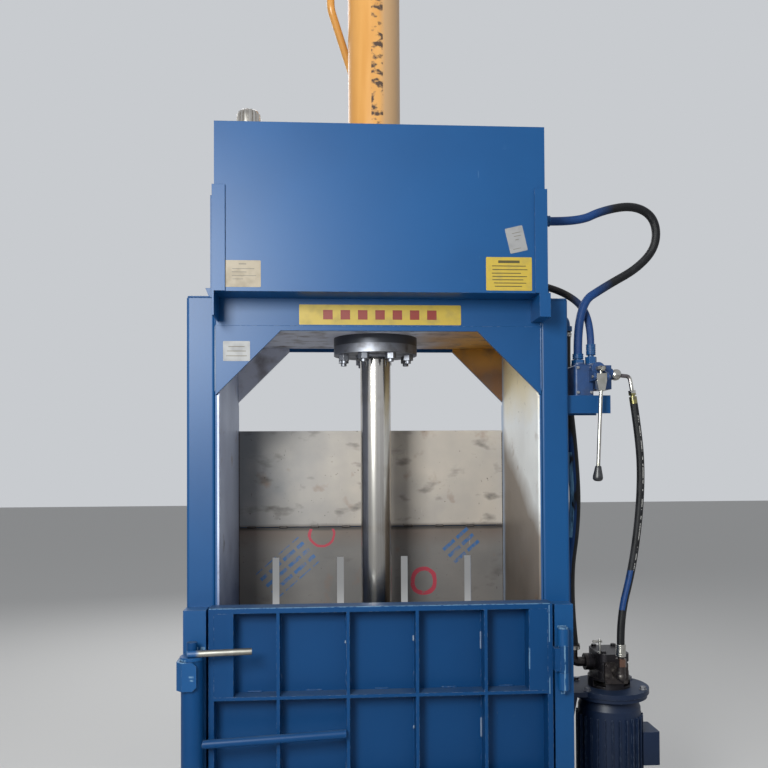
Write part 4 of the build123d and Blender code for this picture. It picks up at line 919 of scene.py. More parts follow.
@dataclass(frozen=True)
class Rubber(Finish):
    """Wrapped rubber cover of a hydraulic hose.

    Gives the eye matt black with a fine slanting cloth mark, dust, and where asked blue
    overspray, a pale broken line printed along the hose, and a pale-blue painted highlight with
    overspray on the left side beside the post.
    """

    title: str = "wrapped_hose_rubber"
    slot: Slot = Slot.RUBBER
    colour: str = "#121316"
    dust: str = "#2b2c2f"
    # Pale blue of a painted highlight on the left side beside the post
    glare: str = "#6f9fbf"
    print: str = "#9b9b98"
    fade: Tone | None = None
    printed: bool = False
    beside_post: bool = False
    length: float = 1.0

    def surface(self, tree: bpy.types.NodeTree, place: Socket) -> dict[str, Any]:
        """Black rubber with its cloth mark, overspray and line.

        Args:
            tree: The material's node tree.
            place: Coordinates in metres.

        Returns:
            The shader's sockets.
        """
        around = add_node(tree, "ShaderNodeTexCoord").outputs["UV"]
        dusty = patches(tree, place, 50, 0.5, 0.8)
        layers = [(dusty, self.dust)]
        if self.fade is not None:
            layers.append((self.fade.mask(tree, place), self.fade.colour))
        if self.printed:
            layers.append((self.touched(tree, place, (885, 1014), 0.3), OVERSPRAY))
            layers.append((self.dashes(tree, place), self.print))
        if self.beside_post:
            layers.append((self.touched(tree, place, (880, 1480), 0.45), OVERSPRAY))
            # Painted highlight in pale blue over the overspray
            layers.append((self.touched(tree, place, (1110, 1400), 0.8), self.glare))
        # A cloth mark is 1 mm wide, drawn 2.5 mm wide so that it shows in the view
        turned = add_node(
            tree,
            "ShaderNodeMapping",
            {"Vector": around, "Scale": (9.0, self.length * 190.0, 1.0)},
        )
        cloth = add_node(
            tree,
            "ShaderNodeTexWave",
            {"Vector": turned.outputs[0], "Scale": 1.0, "Distortion": 0.4},
            bands_direction="DIAGONAL",
        )
        return {
            "Base Color": coats(tree, self.colour, layers),
            "Roughness": levels(tree, 0.5, [(dusty, 0.68)]),
            "Specular IOR Level": 0.25,
            "Normal": bumped(tree, cloth.outputs["Fac"], 0.3, 0.6),
        }

    def facing_side(self, tree: bpy.types.NodeTree, way: Point, narrow: float) -> Socket:
        """Mask of the side of the hose that looks one way.

        Args:
            tree: The material's node tree.
            way: The direction, of length one.
            narrow: Cosine of half the angle that the mask covers.

        Returns:
            A mask that is 1 on that side.
        """
        normal = add_node(tree, "ShaderNodeNewGeometry").outputs["Normal"]
        match = add_node(
            tree, "ShaderNodeVectorMath", {0: normal, 1: way}, operation="DOT_PRODUCT"
        )
        return calculated(tree, "GREATER_THAN", match.outputs["Value"], narrow)

    def touched(
        self, tree: bpy.types.NodeTree, place: Socket, ends: tuple[float, float], narrow: float
    ) -> Socket:
        """Mask of the hose's left side near the post, for overspray and for a painted highlight.

        Args:
            tree: The material's node tree.
            place: Coordinates in metres.
            ends: Lower and upper level in millimetres.
            narrow: Cosine of half the angle that it covers.

        Returns:
            A mask that is 1 on that stretch of the left side.
        """
        side = self.facing_side(tree, (-0.86, -0.5, 0.0), narrow)
        torn = patches(tree, place, 20, 0.36, 0.5, stretch=(1, 1, 4), shift=3.3)
        return both(tree, both(tree, side, region(tree, place, z=ends)), torn)

    def dashes(self, tree: bpy.types.NodeTree, place: Socket) -> Socket:
        """Plain broken line printed along the hose's front.

        Args:
            tree: The material's node tree.
            place: Coordinates in metres.

        Returns:
            A mask that is 1 on the dashes.
        """
        side = self.facing_side(tree, (0.33, -0.944, 0.0), 0.988)
        broken = patches(tree, place, 7, 0.47, 0.49, stretch=(9, 9, 1.6), shift=0.7)
        return both(tree, both(tree, side, region(tree, place, z=(1010, 1520))), broken)


@dataclass(frozen=True)
class Moulded(Finish):
    """Moulded phenolic or nylon.

    Gives the eye a dark even plastic with a fine matt grain.
    """

    title: str = "moulded_phenolic"
    slot: Slot = Slot.PLASTIC
    colour: str = "#25262a"
    scuff: str = "#3c3e42"

    def surface(self, tree: bpy.types.NodeTree, place: Socket) -> dict[str, Any]:
        """Dark plastic with a grain and rubbed patches.

        Args:
            tree: The material's node tree.
            place: Coordinates in metres.

        Returns:
            The shader's sockets.
        """
        rubbed = patches(tree, place, 12, 0.5, 0.8)
        grain = add_node(tree, "ShaderNodeTexNoise", {"Vector": place, "Scale": 900.0})
        return {
            "Base Color": coats(tree, self.colour, [(rubbed, self.scuff)]),
            "Roughness": levels(tree, 0.38, [(rubbed, 0.5)]),
            "Normal": bumped(tree, grain.outputs["Fac"], 0.15, 0.4),
        }


@dataclass(frozen=True)
class Vinyl(Finish):
    """Printed vinyl sticker.

    Gives the eye a flat half-gloss film, yellowed and dusty, a little lifted at its corners.
    """

    title: str = "vinyl_yellow"
    slot: Slot = Slot.PLASTIC
    colour: str = "#cdb54c"
    dust: str = "#a89a5a"

    def surface(self, tree: bpy.types.NodeTree, place: Socket) -> dict[str, Any]:
        """Film with dust and a slight waviness.

        Args:
            tree: The material's node tree.
            place: Coordinates in metres.

        Returns:
            The shader's sockets.
        """
        dusty = patches(tree, place, 30, 0.48, 0.8)
        waves = add_node(tree, "ShaderNodeTexNoise", {"Vector": place, "Scale": 40.0})
        return {
            "Base Color": coats(tree, self.colour, [(dusty, self.dust)]),
            "Roughness": levels(tree, 0.45, [(dusty, 0.6)]),
            "Specular IOR Level": 0.3,
            "Normal": bumped(tree, waves.outputs["Fac"], 0.2, 1.0),
        }


BLUE = Enamel(
    rubbed=(
        # The hinge knuckle's mark is a painted highlight
        (550, 555, 655, 812),
        (539, 567, 860, 866),
        (-585, -535, 806, 821),
        (-606, -578, 792, 800),
        (-570, -556, 740, 745),
        (-570, -556, 750, 755),
    )
)
DOOR_BLUE = Enamel(
    title="sprayed_alkyd_enamel_door",
    colour="#093d6c",
    deep="#083865",
    pale="#4a5d72",
    wear=0.7,
    shine=0.16,
    rubbed=(
        (449, 453, 735, 799),
        (512, 515, 817, 930),
        (512, 515, 658, 716),
        (502, 505, 515, 566),
        (-522, 516, 933.5, 936),
        (-570, -556, 740, 745),
        (-570, -556, 750, 755),
        (-585, -535, 806, 821),
        # The hinge knuckle's mark is a painted highlight
        (550, 555, 655, 812),
    ),
)
PLATE = MillPlate()
LEFT_WALL = MillPlate(
    title="mill_plate_left",
    colour="#b4bed4",
    stain="#a4adc4",
    tones=(Tone("Z", 1150, 880, "#5c6b8c"),),
    painted=Face.LEFT,
    painted_from=-506,
)
# The right wall's pale colour is partly painted window light. Its warm top is partly a film on the
# plate and partly painted light. The band with a slanting edge is a painted shadow, and the
# darkening towards the bottom is painted shade.
RIGHT_WALL = MillPlate(
    title="mill_plate_right",
    colour="#e2e6e6",
    stain="#d5d8d8",
    tones=(
        Tone("Z", 1500, 1650, "#dccfa6"),
        Tone("Z", 1400, 1290, "#857c73", lean=0.52),
        Tone("Z", 1250, 950, "#5f554b", lean=0.3),
        Tone("Y", 225, 268, "#9fb0c6"),
    ),
    painted=Face.RIGHT,
    painted_from=506,
)
BACK_UPPER = MillPlate(
    title="mill_plate_back",
    colour="#b9b0a4",
    stain="#a19b94",
    smeared=0.58,
    tones=(Tone("X", -40, -480, "#75777a"), Tone("Z", 1137, 1125, "#5a5450")),
    painted=Face.REAR,
    painted_from=281,
)
BACK_LOWER = MillPlate(
    title="mill_plate_marked",
    colour="#77736f",
    stain="#656361",
    smeared=0.61,
    tones=(Tone("Z", 1040, 1108, "#6b5f56"), Tone("Z", 1107, 1116, "#37322f")),
    painted=Face.REAR,
    painted_from=281,
    marked=True,
)
LINING = Lining()
YELLOW = FlakedEnamel()
TURNED = Metal()
DARK_STEEL = Metal(
    # Pale edges: partly rubbed steel, partly a painted highlight
    title="oiled_turned_steel", colour="#868890", stain="#5c5a5a", rough=0.5, edge_rub_and_highlight="#a5a5a7"
)
DRAWN_BAR = Metal(
    title="drawn_bar",
    colour="#8f8d87",
    stain="#6a665f",
    rough=0.45,
    grain_stretch=(0.4, 0.4, 8.0),
    fade=Tone("X", -540, -553, PAINT),
)
BURNT_WELD = Metal(
    title="burnt_weld", slot=Slot.PLATE, colour="#4b4644", stain="#2c2826", rough=0.6, metallic=0.6
)
# Pale enamel of weld beads: on the door a painted highlight, on the arch partly rubbed paint and
# partly a painted highlight
WORN_AND_HIGHLIT_WELD = Enamel(
    title="rubbed_and_highlit_enamel_weld", colour="#8f9cab", deep="#2c5788", pale="#b8bfc8", rough=0.5
)
CHROME = Chrome()
CAP_CHROME = Chrome(title="pressed_chrome_cap", rough=0.2)
ZINC = Metal(
    title="bright_zinc_plate",
    slot=Slot.ZINC,
    colour="#b4b2ac",
    stain="#8a8779",
    rough=0.28,
    grain=6.0,
    grain_stretch=(1.0, 1.0, 1.0),
)
IRON = Metal(
    title="painted_cast_iron",
    slot=Slot.IRON,
    colour="#153c6c",
    stain="#102b50",
    rough=0.45,
    metallic=0.0,
    grain=5.0,
    grain_stretch=(1.0, 1.0, 1.0),
    depth=0.5,
)
ALUMINIUM = Metal(
    title="die_cast_aluminium",
    slot=Slot.ALUMINIUM,
    colour="#2e2c30",
    stain="#1c1b1d",
    rough=0.42,
    metallic=0.7,
    # Pale edges: partly bare machined metal, partly a painted highlight
    edge_rub_and_highlight="#8c8a8b",
    grain=3.0,
    grain_stretch=(1.0, 1.0, 1.0),
    depth=0.4,
)
MOTOR = Enamel(
    title="motor_enamel",
    slot=Slot.MOTOR,
    colour="#13243f",
    deep="#0f1c31",
    pale="#2a3b54",
    rough=0.45,
)
PLASTIC = Moulded()

CARRIED_OVER: dict[Finish, tuple[str, ...]] = {
    BLUE: (
        "front_posts",
        "rear_posts",
        "foot_plates",
        "side_rails",
        "base_beams",
        "rear_beams",
        "front_arch_plate",
        "rear_arch_plate",
        "header_plates",
        "oil_tank",
        "tank_brackets",
        "tank_cover",
        "valve_shelf",
        "pipe_bracket",
        "suction_pipe",
        "frame_knuckles",
        "hinge_pins",
        "lock_bearings",
        "door_pads",
    ),
    DOOR_BLUE: (
        "door_panel",
        "door_ribs",
        "door_corner_boxes",
        "door_knuckles",
        "lock_tube",
        "lock_lever",
        "platen_ribs",
    ),
    PLATE: ("chamber_floor", "platen"),
    LEFT_WALL: ("left_side_wall",),
    RIGHT_WALL: ("right_side_wall",),
    BACK_UPPER: ("back_plate_upper",),
    BACK_LOWER: ("back_plate_lower",),
    LINING: ("arch_linings", "cylinder_mount_plate"),
    YELLOW: ("cylinder_barrel", "cylinder_cap", "oil_pipe"),
    TURNED: ("piston", "rod_foot", "valve_spool"),
    ZINC: ("valve_lever",),
    DARK_STEEL: ("cylinder_gland", "flange_studs"),
    DRAWN_BAR: ("latch_bar",),
    CHROME: ("piston_rod",),
    CAP_CHROME: ("breather_cap",),
    Fittings(): ("hose_fittings",),
    IRON: ("valve_body",),
    ALUMINIUM: ("pump_body", "pump_lantern"),
    MOTOR: ("motor_bracket", "motor_body", "fan_cowl"),
    PLASTIC: ("lever_knob",),
    Metal(title="rotor_steel", colour="#77746f"): ("motor_rotor",),
}


def dress_nodes() -> None:
    """Give every carried-over node its finish."""
    for finish, names in CARRIED_OVER.items():
        for name in names:
            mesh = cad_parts[name].data
            for index in range(len(mesh.materials)):
                mesh.materials[index] = finish.material()
            LOG.info("node %s in %s", name, finish.title)


@dataclass
class Viewpoint:
    """The camera of the photograph, and what it stands in."""

    place: Point = (-155.8, -2871.7, 1400.0)
    yaw: float = 3.673
    pitch: float = 1.15
    roll: float = -0.296
    lens: float = 38.95
    shift: float = 52.5 / 768

    def camera(self) -> bpy.types.Object:
        """Make the camera and let the scene look through it.

        Returns:
            The camera.
        """
        yaw, pitch, roll = (math.radians(a) for a in (self.yaw, self.pitch, self.roll))
        level = Vector((math.sin(yaw), math.cos(yaw), 0))
        side = Vector((math.cos(yaw), -math.sin(yaw), 0))
        ahead = level * math.cos(pitch) + Vector((0, 0, 1)) * math.sin(pitch)
        above = Vector((0, 0, 1)) * math.cos(pitch) - level * math.sin(pitch)
        right = side * math.cos(roll) + above * math.sin(roll)
        up = above * math.cos(roll) - side * math.sin(roll)
        data = bpy.data.cameras.new("viewpoint")
        data.lens = self.lens
        data.sensor_width = 36.0
        data.shift_y = self.shift
        data.clip_end = 60.0
        camera = bpy.data.objects.new("viewpoint", data)
        camera.matrix_world = Matrix.Translation(metres(*self.place)) @ Matrix(
            (right, up, -ahead)
        ).transposed().to_4x4()
        bpy.context.scene.collection.objects.link(camera)
        bpy.context.scene.camera = camera
        return camera


@dataclass
class Studio:
    """Plain pale floor and soft lamps."""

    floor_size: float = 40000.0
    floor_colour: str = "#cdcdcc"
    sky_light: str = "#f2f4f7"
    sky_seen: str = "#c8cbcf"
    sky: float = 0.4
    lamps: tuple[tuple[str, Point, Point, tuple[float, float], float], ...] = (
        ("window", (-1230, -3000, 2350), (-350, -385, 1900), (900, 1200), 100),
        ("glare", (-1250, -3010, 2350), (-350, -385, 1900), (900, 1200), 90),
        ("ceiling", (500, -2600, 4600), (0, 0, 1500), (3000, 3000), 40),
        ("fill", (3600, -2300, 2000), (200, 0, 1500), (2200, 2200), 11),
        ("rear", (-800, 3600, 3600), (0, 200, 1400), (3000, 3000), 80),
    )

    def build(self) -> None:
        """Make floor, sky and lamps, and set the view to Standard."""
        bpy.context.scene.view_settings.view_transform = "Standard"
        shape = bmesh.new()
        half = self.floor_size / 2000
        bmesh.ops.create_grid(
            shape, x_segments=1, y_segments=1, size=half, matrix=Matrix.Identity(4)
        )
        mesh = bpy.data.meshes.new("studio_floor")
        shape.to_mesh(mesh)
        shape.free()
        mesh.materials.append(self.floor_material())
        floor = bpy.data.objects.new("studio_floor", mesh)
        bpy.context.scene.collection.objects.link(floor)
        self.build_sky()
        for name, place, aim, size, power in self.lamps:
            data = bpy.data.lights.new(name, "AREA")
            data.shape = "RECTANGLE"
            data.size, data.size_y = size[0] / 1000, size[1] / 1000
            data.energy = power
            lamp = bpy.data.objects.new(name, data)
            lamp.visible_glossy = name not in ("ceiling", "fill")
            lamp.visible_diffuse = name != "glare"
            if name == "glare":
                data.color = (0.93, 1.0, 0.95)
            ahead = metres(*aim) - metres(*place)
            turn = ahead.to_track_quat("-Z", "Y").to_matrix().to_4x4()
            lamp.matrix_world = Matrix.Translation(metres(*place)) @ turn
            bpy.context.scene.collection.objects.link(lamp)

    def floor_material(self) -> bpy.types.Material:
        """Pale matt floor.

        Returns:
            The material.
        """
        made = bpy.data.materials.new("pale_studio_floor")
        made.use_nodes = True
        shader = made.node_tree.nodes["Principled BSDF"]
        shader.inputs["Base Color"].default_value = linear(self.floor_colour)
        shader.inputs["Roughness"].default_value = 0.9
        return made

    def build_sky(self) -> None:
        """Pale surroundings that the camera and mirrors see, and a softer light from them."""
        world = bpy.data.worlds.new("studio_sky")
        bpy.context.scene.world = world
        world.use_nodes = True
        tree = world.node_tree
        tree.nodes.clear()
        path = add_node(tree, "ShaderNodeLightPath")
        seen = path.outputs["Is Camera Ray"]
        for ray in ("Is Glossy Ray", "Is Transmission Ray"):
            seen = calculated(tree, "MAXIMUM", seen, path.outputs[ray])
        light, pale = (
            add_node(tree, "ShaderNodeBackground", {"Color": linear(code), "Strength": strength})
            for code, strength in ((self.sky_light, self.sky), (self.sky_seen, 1.0))
        )
        mixed = add_node(
            tree, "ShaderNodeMixShader", {0: seen, 1: light.outputs[0], 2: pale.outputs[0]}
        )
        add_node(tree, "ShaderNodeOutputWorld", {0: mixed.outputs[0]})


@dataclass
class Hose:
    """A rubber hydraulic hose from one fitting to another."""

    name: str
    node: str
    route: tuple[Point, ...]
    diameter: float
    length: float
    finish: Rubber

    def build(self) -> bpy.types.Object:
        """Returns:
            The hose.
        """
        line = bpy.data.curves.new(self.name, "CURVE")
        line.dimensions = "3D"
        line.resolution_u = 20
        line.bevel_depth = self.diameter / 2000
        line.bevel_resolution = 6
        line.use_fill_caps = True
        spline = line.splines.new("NURBS")
        spline.points.add(len(self.route) - 1)
        for point, place in zip(spline.points, self.route):
            point.co = (*metres(*place), 1.0)
        spline.order_u = 3
        spline.use_endpoint_u = True
        line.materials.append(self.finish.material())
        hose = bpy.data.objects.new(self.name, line)
        bpy.context.scene.collection.objects.link(hose)
        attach(hose, Body.FRAME.value)
        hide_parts(self.node)
        LOG.info("hose %s, %d points", self.name, len(self.route))
        return hose


HOSES = (
    Hose(
        "return_hose_cover",
        "return_hose",
        (
            (564, -200, 2158),
            (662, -200, 2158),
            (745, -188, 2200),
            (862, -165, 2226),
            (938, -150, 2188),
            (948, -138, 2098),
            (885, -135, 2022),
            (765, -152, 1955),
            (657, -188, 1885),
            (657, -190, 1723),
        ),
        28,
        1014,
        Rubber(
            title="wrapped_hose_rubber_sprayed", fade=Tone("X", 790, 715, OVERSPRAY), length=1.014
        ),
    ),
    Hose(
        "cylinder_hose_cover",
        "cylinder_hose",
        (
            (545, -62, 1978),
            (612, -66, 1966),
            (690, -118, 1905),
            (706, -170, 1825),
            (706, -172, 1757),
        ),
        24,
        350,
        Rubber(
            title="wrapped_hose_rubber_painted",
            colour="#302e2d",
            fade=Tone("X", 655, 700, OVERSPRAY),
            length=0.35,
        ),
    ),
    Hose(
        "pressure_hose_cover",
        "pressure_hose",
        (
            (838, -204, 1558),
            (853.3, -204, 1449.1),
            (860, -204, 1330),
            (851, -204, 1185),
            (826, -203, 1015),
            (786, -202, 865),
            (786, -202, 773),
        ),
        25,
        793,
        Rubber(title="wrapped_hose_rubber_lined", printed=True, length=0.793),
    ),
    Hose(
        "suction_hose_cover",
        "suction_hose",
        (
            (650, -70, 1815),
            (644, -70, 1660),
            (672, -72, 1400),
            (681, -72, 1180),
            (648, -60, 945),
            (669, -58, 745),
        ),
        38,
        1075,
        Rubber(title="wrapped_hose_rubber_brushed", beside_post=True, length=1.075),
    ),
)


def finish_piece(
    name: str,
    shape: bmesh.types.BMesh,
    finish: Finish,
    body: Body,
    replaced: Sequence[str] = (),
    sharp: float = 35.0,
) -> bpy.types.Object:
    """Turn a shape in metres into a piece that rides on its body.

    Args:
        name: The piece's name.
        shape: The shape, which is used up.
        finish: Its finish.
        body: The body that carries it.
        replaced: Nodes that it stands for.
        sharp: Edges that turn by more degrees than this stay sharp.

    Returns:
        The piece.
    """
    bmesh.ops.remove_doubles(shape, verts=shape.verts, dist=0.00001)
    bmesh.ops.recalc_face_normals(shape, faces=shape.faces)
    mesh = bpy.data.meshes.new(name)
    shape.to_mesh(mesh)
    shape.free()
    mesh.shade_smooth()
    mesh.set_sharp_from_angle(angle=math.radians(sharp))
    mesh.materials.append(finish.material())
    piece = bpy.data.objects.new(name, mesh)
    bpy.context.scene.collection.objects.link(piece)
    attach(piece, body.value)
    if replaced:
        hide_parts(*replaced)
    LOG.info("piece %s, %d faces, on %s", name, len(mesh.polygons), body.value)
    return piece


def facing(place: Point, direction: Point) -> Matrix:
    """Frame at a place in millimetres whose Z looks along a direction.

    Args:
        place: The origin in millimetres.
        direction: The way that Z looks.

    Returns:
        The frame, in metres.
    """
    turn = Vector(direction).to_track_quat("Z", "Y").to_matrix().to_4x4()
    return Matrix.Translation(metres(*place)) @ turn


def lathe(
    shape: bmesh.types.BMesh, profile: Sequence[tuple[float, float]], at: Matrix, steps: int = 48
) -> None:
    """Spin a profile of radius and height, in millimetres, round the frame's Z.

    Args:
        shape: The shape that takes the turned form.
        profile: Radius and height of each point.
        at: The frame that it stands in.
        steps: Steps in the full turn.
    """
    points = [shape.verts.new(at @ metres(radius, 0, height)) for radius, height in profile]
    edges = [shape.edges.new(pair) for pair in zip(points, points[1:])]
    bmesh.ops.spin(
        shape,
        geom=points + edges,
        cent=at.translation,
        axis=at.to_3x3() @ Vector((0, 0, 1)),
        dvec=(0, 0, 0),
        angle=math.tau,
        steps=steps,
        use_merge=True,
        use_duplicate=False,
    )


def raised(
    shape: bmesh.types.BMesh, faces: Sequence[bmesh.types.BMFace], by: Vector
) -> list[bmesh.types.BMFace]:
    """Extrude faces by a vector in metres.

    Args:
        shape: The shape that they belong to.
        faces: The faces to raise.
        by: How far and which way.

    Returns:
        The raised faces.
    """
    grown = bmesh.ops.extrude_face_region(shape, geom=list(faces))["geom"]
    points = [g for g in grown if isinstance(g, bmesh.types.BMVert)]
    bmesh.ops.translate(shape, verts=points, vec=by)
    return [g for g in grown if isinstance(g, bmesh.types.BMFace)]


@dataclass
class Bolt:
    """Hexagon bolt head on a washer, or a socket screw."""

    across: float = 19.0
    height: float = 9.0
    washer: float = 15.0
    washer_height: float = 2.5
    sides: int = 6
    chamfer: float = 1.2
    crown_share: float = 0.86

    def add(self, shape: bmesh.types.BMesh, at: Matrix) -> None:
        """Add the bolt with its seat in the frame's plane.

        Args:
            shape: The shape that takes it.
            at: The frame on the seat, whose Z looks away from it.
        """
        up = at.to_3x3() @ metres(0, 0, 1)
        if self.washer:
            ring = bmesh.ops.create_circle(
                shape, cap_ends=True, segments=24, radius=self.washer / 1000, matrix=at
            )
            raised(shape, self.faces(ring), up * self.washer_height)
        seat = at @ Matrix.Translation(metres(0, 0, self.washer_height if self.washer else 0))
        reach = self.across / 2 / math.cos(math.pi / self.sides)
        head = bmesh.ops.create_circle(
            shape, cap_ends=True, segments=self.sides, radius=reach / 1000, matrix=seat
        )
        side = raised(shape, self.faces(head), up * (self.height - self.chamfer))
        crown = raised(shape, side, up * self.chamfer)
        for face in crown:
            middle = face.calc_center_median()
            for vert in face.verts:
                vert.co = middle + (vert.co - middle) * self.crown_share
        if self.sides > 6:
            bmesh.ops.inset_region(shape, faces=crown, thickness=self.across * 0.2 / 1000)
            raised(shape, crown, up * -self.height * 0.5)

    def faces(self, made: dict[str, Any]) -> list[bmesh.types.BMFace]:
        """Faces of a circle that an operator has made."""
        found = {face for vert in made["verts"] for face in vert.link_faces}
        return [face for face in found if all(v in made["verts"] for v in face.verts)]


@dataclass
class Bead:
    """Weld bead with a ripple for each weave of the torch."""

    radius: float = 4.0
    pitch: float = 4.5
    seed: int = 7
    sides: int = 7

    def lay(self, shape: bmesh.types.BMesh, start: Point, end: Point) -> None:
        """Lay one straight bead.

        Args:
            shape: The shape that takes it.
            start: Where it begins, in millimetres.
            end: Where it ends.
        """
        dice = random.Random(self.seed + int(sum(start) + 3 * sum(end)))
        run = metres(*end) - metres(*start)
        count = max(2, round(run.length * 1000 / self.pitch))
        at = facing(start, tuple(run))
        ring = bmesh.ops.create_circle(
            shape, cap_ends=True, segments=self.sides, radius=self.radius / 2500, matrix=at
        )
        points = ring["verts"]
        edges = list({e for v in points for e in v.link_edges})
        for step in range(1, count + 1):
            grown = bmesh.ops.extrude_edge_only(shape, edges=edges)["geom"]
            points = [g for g in grown if isinstance(g, bmesh.types.BMVert)]
            edges = [
                g
                for g in grown
                if isinstance(g, bmesh.types.BMEdge) and all(v in points for v in g.verts)
            ]
            middle = sum((v.co for v in points), Vector()) / len(points)
            goal = metres(*start) + run * (step / count)
            full = self.radius * (0.82 + 0.18 * (step % 2) + dice.uniform(-0.08, 0.08)) / 1000
            if step == count:
                full *= 0.4
            for vert in points:
                vert.co = goal + (vert.co - middle).normalized() * full
        bmesh.ops.contextual_create(shape, geom=edges)


@dataclass
class FrameSeams:
    """Welds of the posts, plates, rails and brackets."""

    post_side: float = 512.0
    post_outer: float = 600.0
    front: float = -275.0
    arch_bottom: float = 1594.0
    arch_top: float = 1799.0
    header_top: float = 1885.0
    rails: tuple[float, ...] = (300, 760, 1220, 1680)
    rail_size: float = 60.0
    post_faces: tuple[tuple[float, float], ...] = ((-275.0, -187.0), (199.0, 287.0))
    foot_top: float = 21.0
    corner: tuple[float, float] = (506.0, 596.0)
    corner_level: float = 1887.0
    brackets: tuple[tuple[Point, Point], ...] = (
        ((601, -245, 1583), (601, -95, 1583)),
        ((601, -245, 1525), (601, -245, 1583)),
        ((613, -165, 592), (613, 5, 592)),
        ((501, -110, 1886), (501, -14, 1886)),
    )
    chamber_side: float = 500.0
    chamber_back: float = 275.0
    chamber_levels: tuple[float, float] = (142.0, 1480.0)
    back_joint: float = 1123.5
    back_stitches: range = range(-470, 480, 118)
    back_stitch: float = 34.0

    def build(self) -> None:
        """Lay the painted seams, the arch's pale one, partly rubbed paint and partly a painted
        highlight, and the burnt ones of the chamber.
        """
        shape = bmesh.new()
        bead = Bead(radius=3.4)
        for side in (-1, 1):
            x = side * self.post_side
            bead.lay(shape, (x, self.front, self.arch_top), (x, self.front, self.header_top))
            outer = side * self.post_outer
            for level in self.rails:
                for y in (self.post_faces[0][1], self.post_faces[1][0]):
                    bead.lay(shape, (outer, y, level), (outer, y, level + self.rail_size))
            foot = self.foot_top
            for faces in self.post_faces:
                for y in faces:
                    bead.lay(shape, (x, y, foot), (outer, y, foot))
            for near, far in self.post_faces:
                bead.lay(shape, (outer, near, foot), (outer, far, foot))
            start, end = ((side * edge, self.front, self.corner_level) for edge in self.corner)
            bead.lay(shape, start, end)
        for start, end in self.brackets:
            bead.lay(shape, start, end)
        side = self.post_side
        bead.lay(shape, (side, self.front, self.arch_bottom), (side, self.front, self.arch_top))
        finish_piece("frame_seams", shape, BLUE, Body.FRAME)
        # The arch's seam in pale enamel: partly rubbed paint, partly a painted highlight
        rubbed = bmesh.new()
        thin = Bead(radius=2.2, pitch=3.6)
        thin.lay(rubbed, (-side, self.front, self.arch_bottom), (-side, self.front, self.arch_top))
        finish_piece("arch_seams", rubbed, WORN_AND_HIGHLIT_WELD, Body.FRAME)
        burnt = bmesh.new()
        back, joint = self.chamber_back, self.back_joint
        low, high = self.chamber_levels
        for x in (-self.chamber_side, self.chamber_side):
            bead.lay(burnt, (x, back, low), (x, back, high))
        stitch = Bead(radius=5.0)
        for x in self.back_stitches:
            stitch.lay(burnt, (x, back, joint), (x + self.back_stitch, back, joint))
        finish_piece("chamber_seams", burnt, BURNT_WELD, Body.FRAME)


@dataclass
class DoorStitches:
    """Short welds that hold the door's ribs, painted over, some pale as a painted highlight on the
    bead.
    """

    ribs: tuple[float, ...] = (-316.5, -105.5, 105.5, 316.5)
    half_rib: float = 5.0
    panel: float = -283.5
    rows: tuple[tuple[float, float], ...] = ((150, 399.6), (409.7, 659.3), (669.3, 919))
    columns: tuple[float, ...] = (-390, -210, 0, 210, 390)
    inset: float = 12.0
    stitch: float = 40.0
    half_cross: float = 24.0
    fillet: float = 1.5
    # Rib X, lower and upper level of each pale stitch, a painted highlight on the bead
    rubbed: tuple[tuple[float, float, float], ...] = (
        (-111, 812, 822),
        (100, 816, 834),
        (311, 787, 842),
        (311, 514, 575),
        (100, 545, 556),
    )

    def build(self) -> None:
        """Lay the painted stitches and the pale ones, a painted highlight."""
        painted = bmesh.new()
        bead = Bead(radius=3.6)
        y = self.panel - self.fillet
        for x in self.ribs:
            for side in (-1, 1):
                edge = x + side * (self.half_rib + 1.0)
                for low, high in self.rows:
                    for start in (low + self.inset, high - (self.inset + self.stitch)):
                        bead.lay(painted, (edge, y, start), (edge, y, start + self.stitch))
        for low, high in self.rows:
            for x in self.columns:
                for z in (low + self.fillet, high - self.fillet):
                    bead.lay(painted, (x - self.half_cross, y, z), (x + self.half_cross, y, z))
        finish_piece("door_stitches", painted, DOOR_BLUE, Body.DOOR)
        # Pale stitches, whose colour is a painted highlight on the weld beads
        pale = bmesh.new()
        thin = Bead(radius=2.6, pitch=3.2)
        for x, low, high in self.rubbed:
            thin.lay(pale, (x - 1.5, self.panel - 2, low), (x - 1.5, self.panel - 2, high))
        finish_piece("door_highlit_stitches", pale, WORN_AND_HIGHLIT_WELD, Body.DOOR)


@dataclass
class FillerCap:
    """Ribbed chrome cap on the tank's filler neck, whose dome stands above its plain node."""

    ribs: int = 18
    groove: float = 4.2
    dome: float = 14.0

    def build(self) -> None:
        """Turn the bell and press its grooves."""
        low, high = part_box("breather_cap")
        middle = [(a + b) * 500 for a, b in zip(low, high)]
        reach = (high[0] - low[0]) * 500
        tall = (high[2] - low[2]) * 1000 + self.dome
        shape = bmesh.new()
        at = facing((middle[0], middle[1], low[2] * 1000), (0, 0, 1))
        profile = (
            (reach - 8, 0.0),
            (reach, 0.0),
            (reach, 7.0),
            (reach - 1.5, 9.0),
            (reach - 1.0, 12.0),
            (reach - 1.0, tall - 24),
            (reach - 2.0, tall - 15),
            (reach - 5.5, tall - 7),
            (reach - 12.0, tall - 2.4),
            (reach - 22.0, tall - 0.4),
            (0.0, tall),
        )
        lathe(shape, profile, at, steps=self.ribs * 8)
        for vert in shape.verts:
            out = vert.co - at.translation
            height = out.z * 1000
            round_it = Vector((out.x, out.y, 0))
            phase = (math.atan2(out.y, out.x) / math.tau * self.ribs) % 1.0
            if 10 < height < tall - 6 and 0.3 < phase < 0.7:
                vert.co -= round_it.normalized() * self.groove / 1000
        finish_piece("filler_cap", shape, CAP_CHROME, Body.BREATHER, ("breather_cap",), sharp=28)


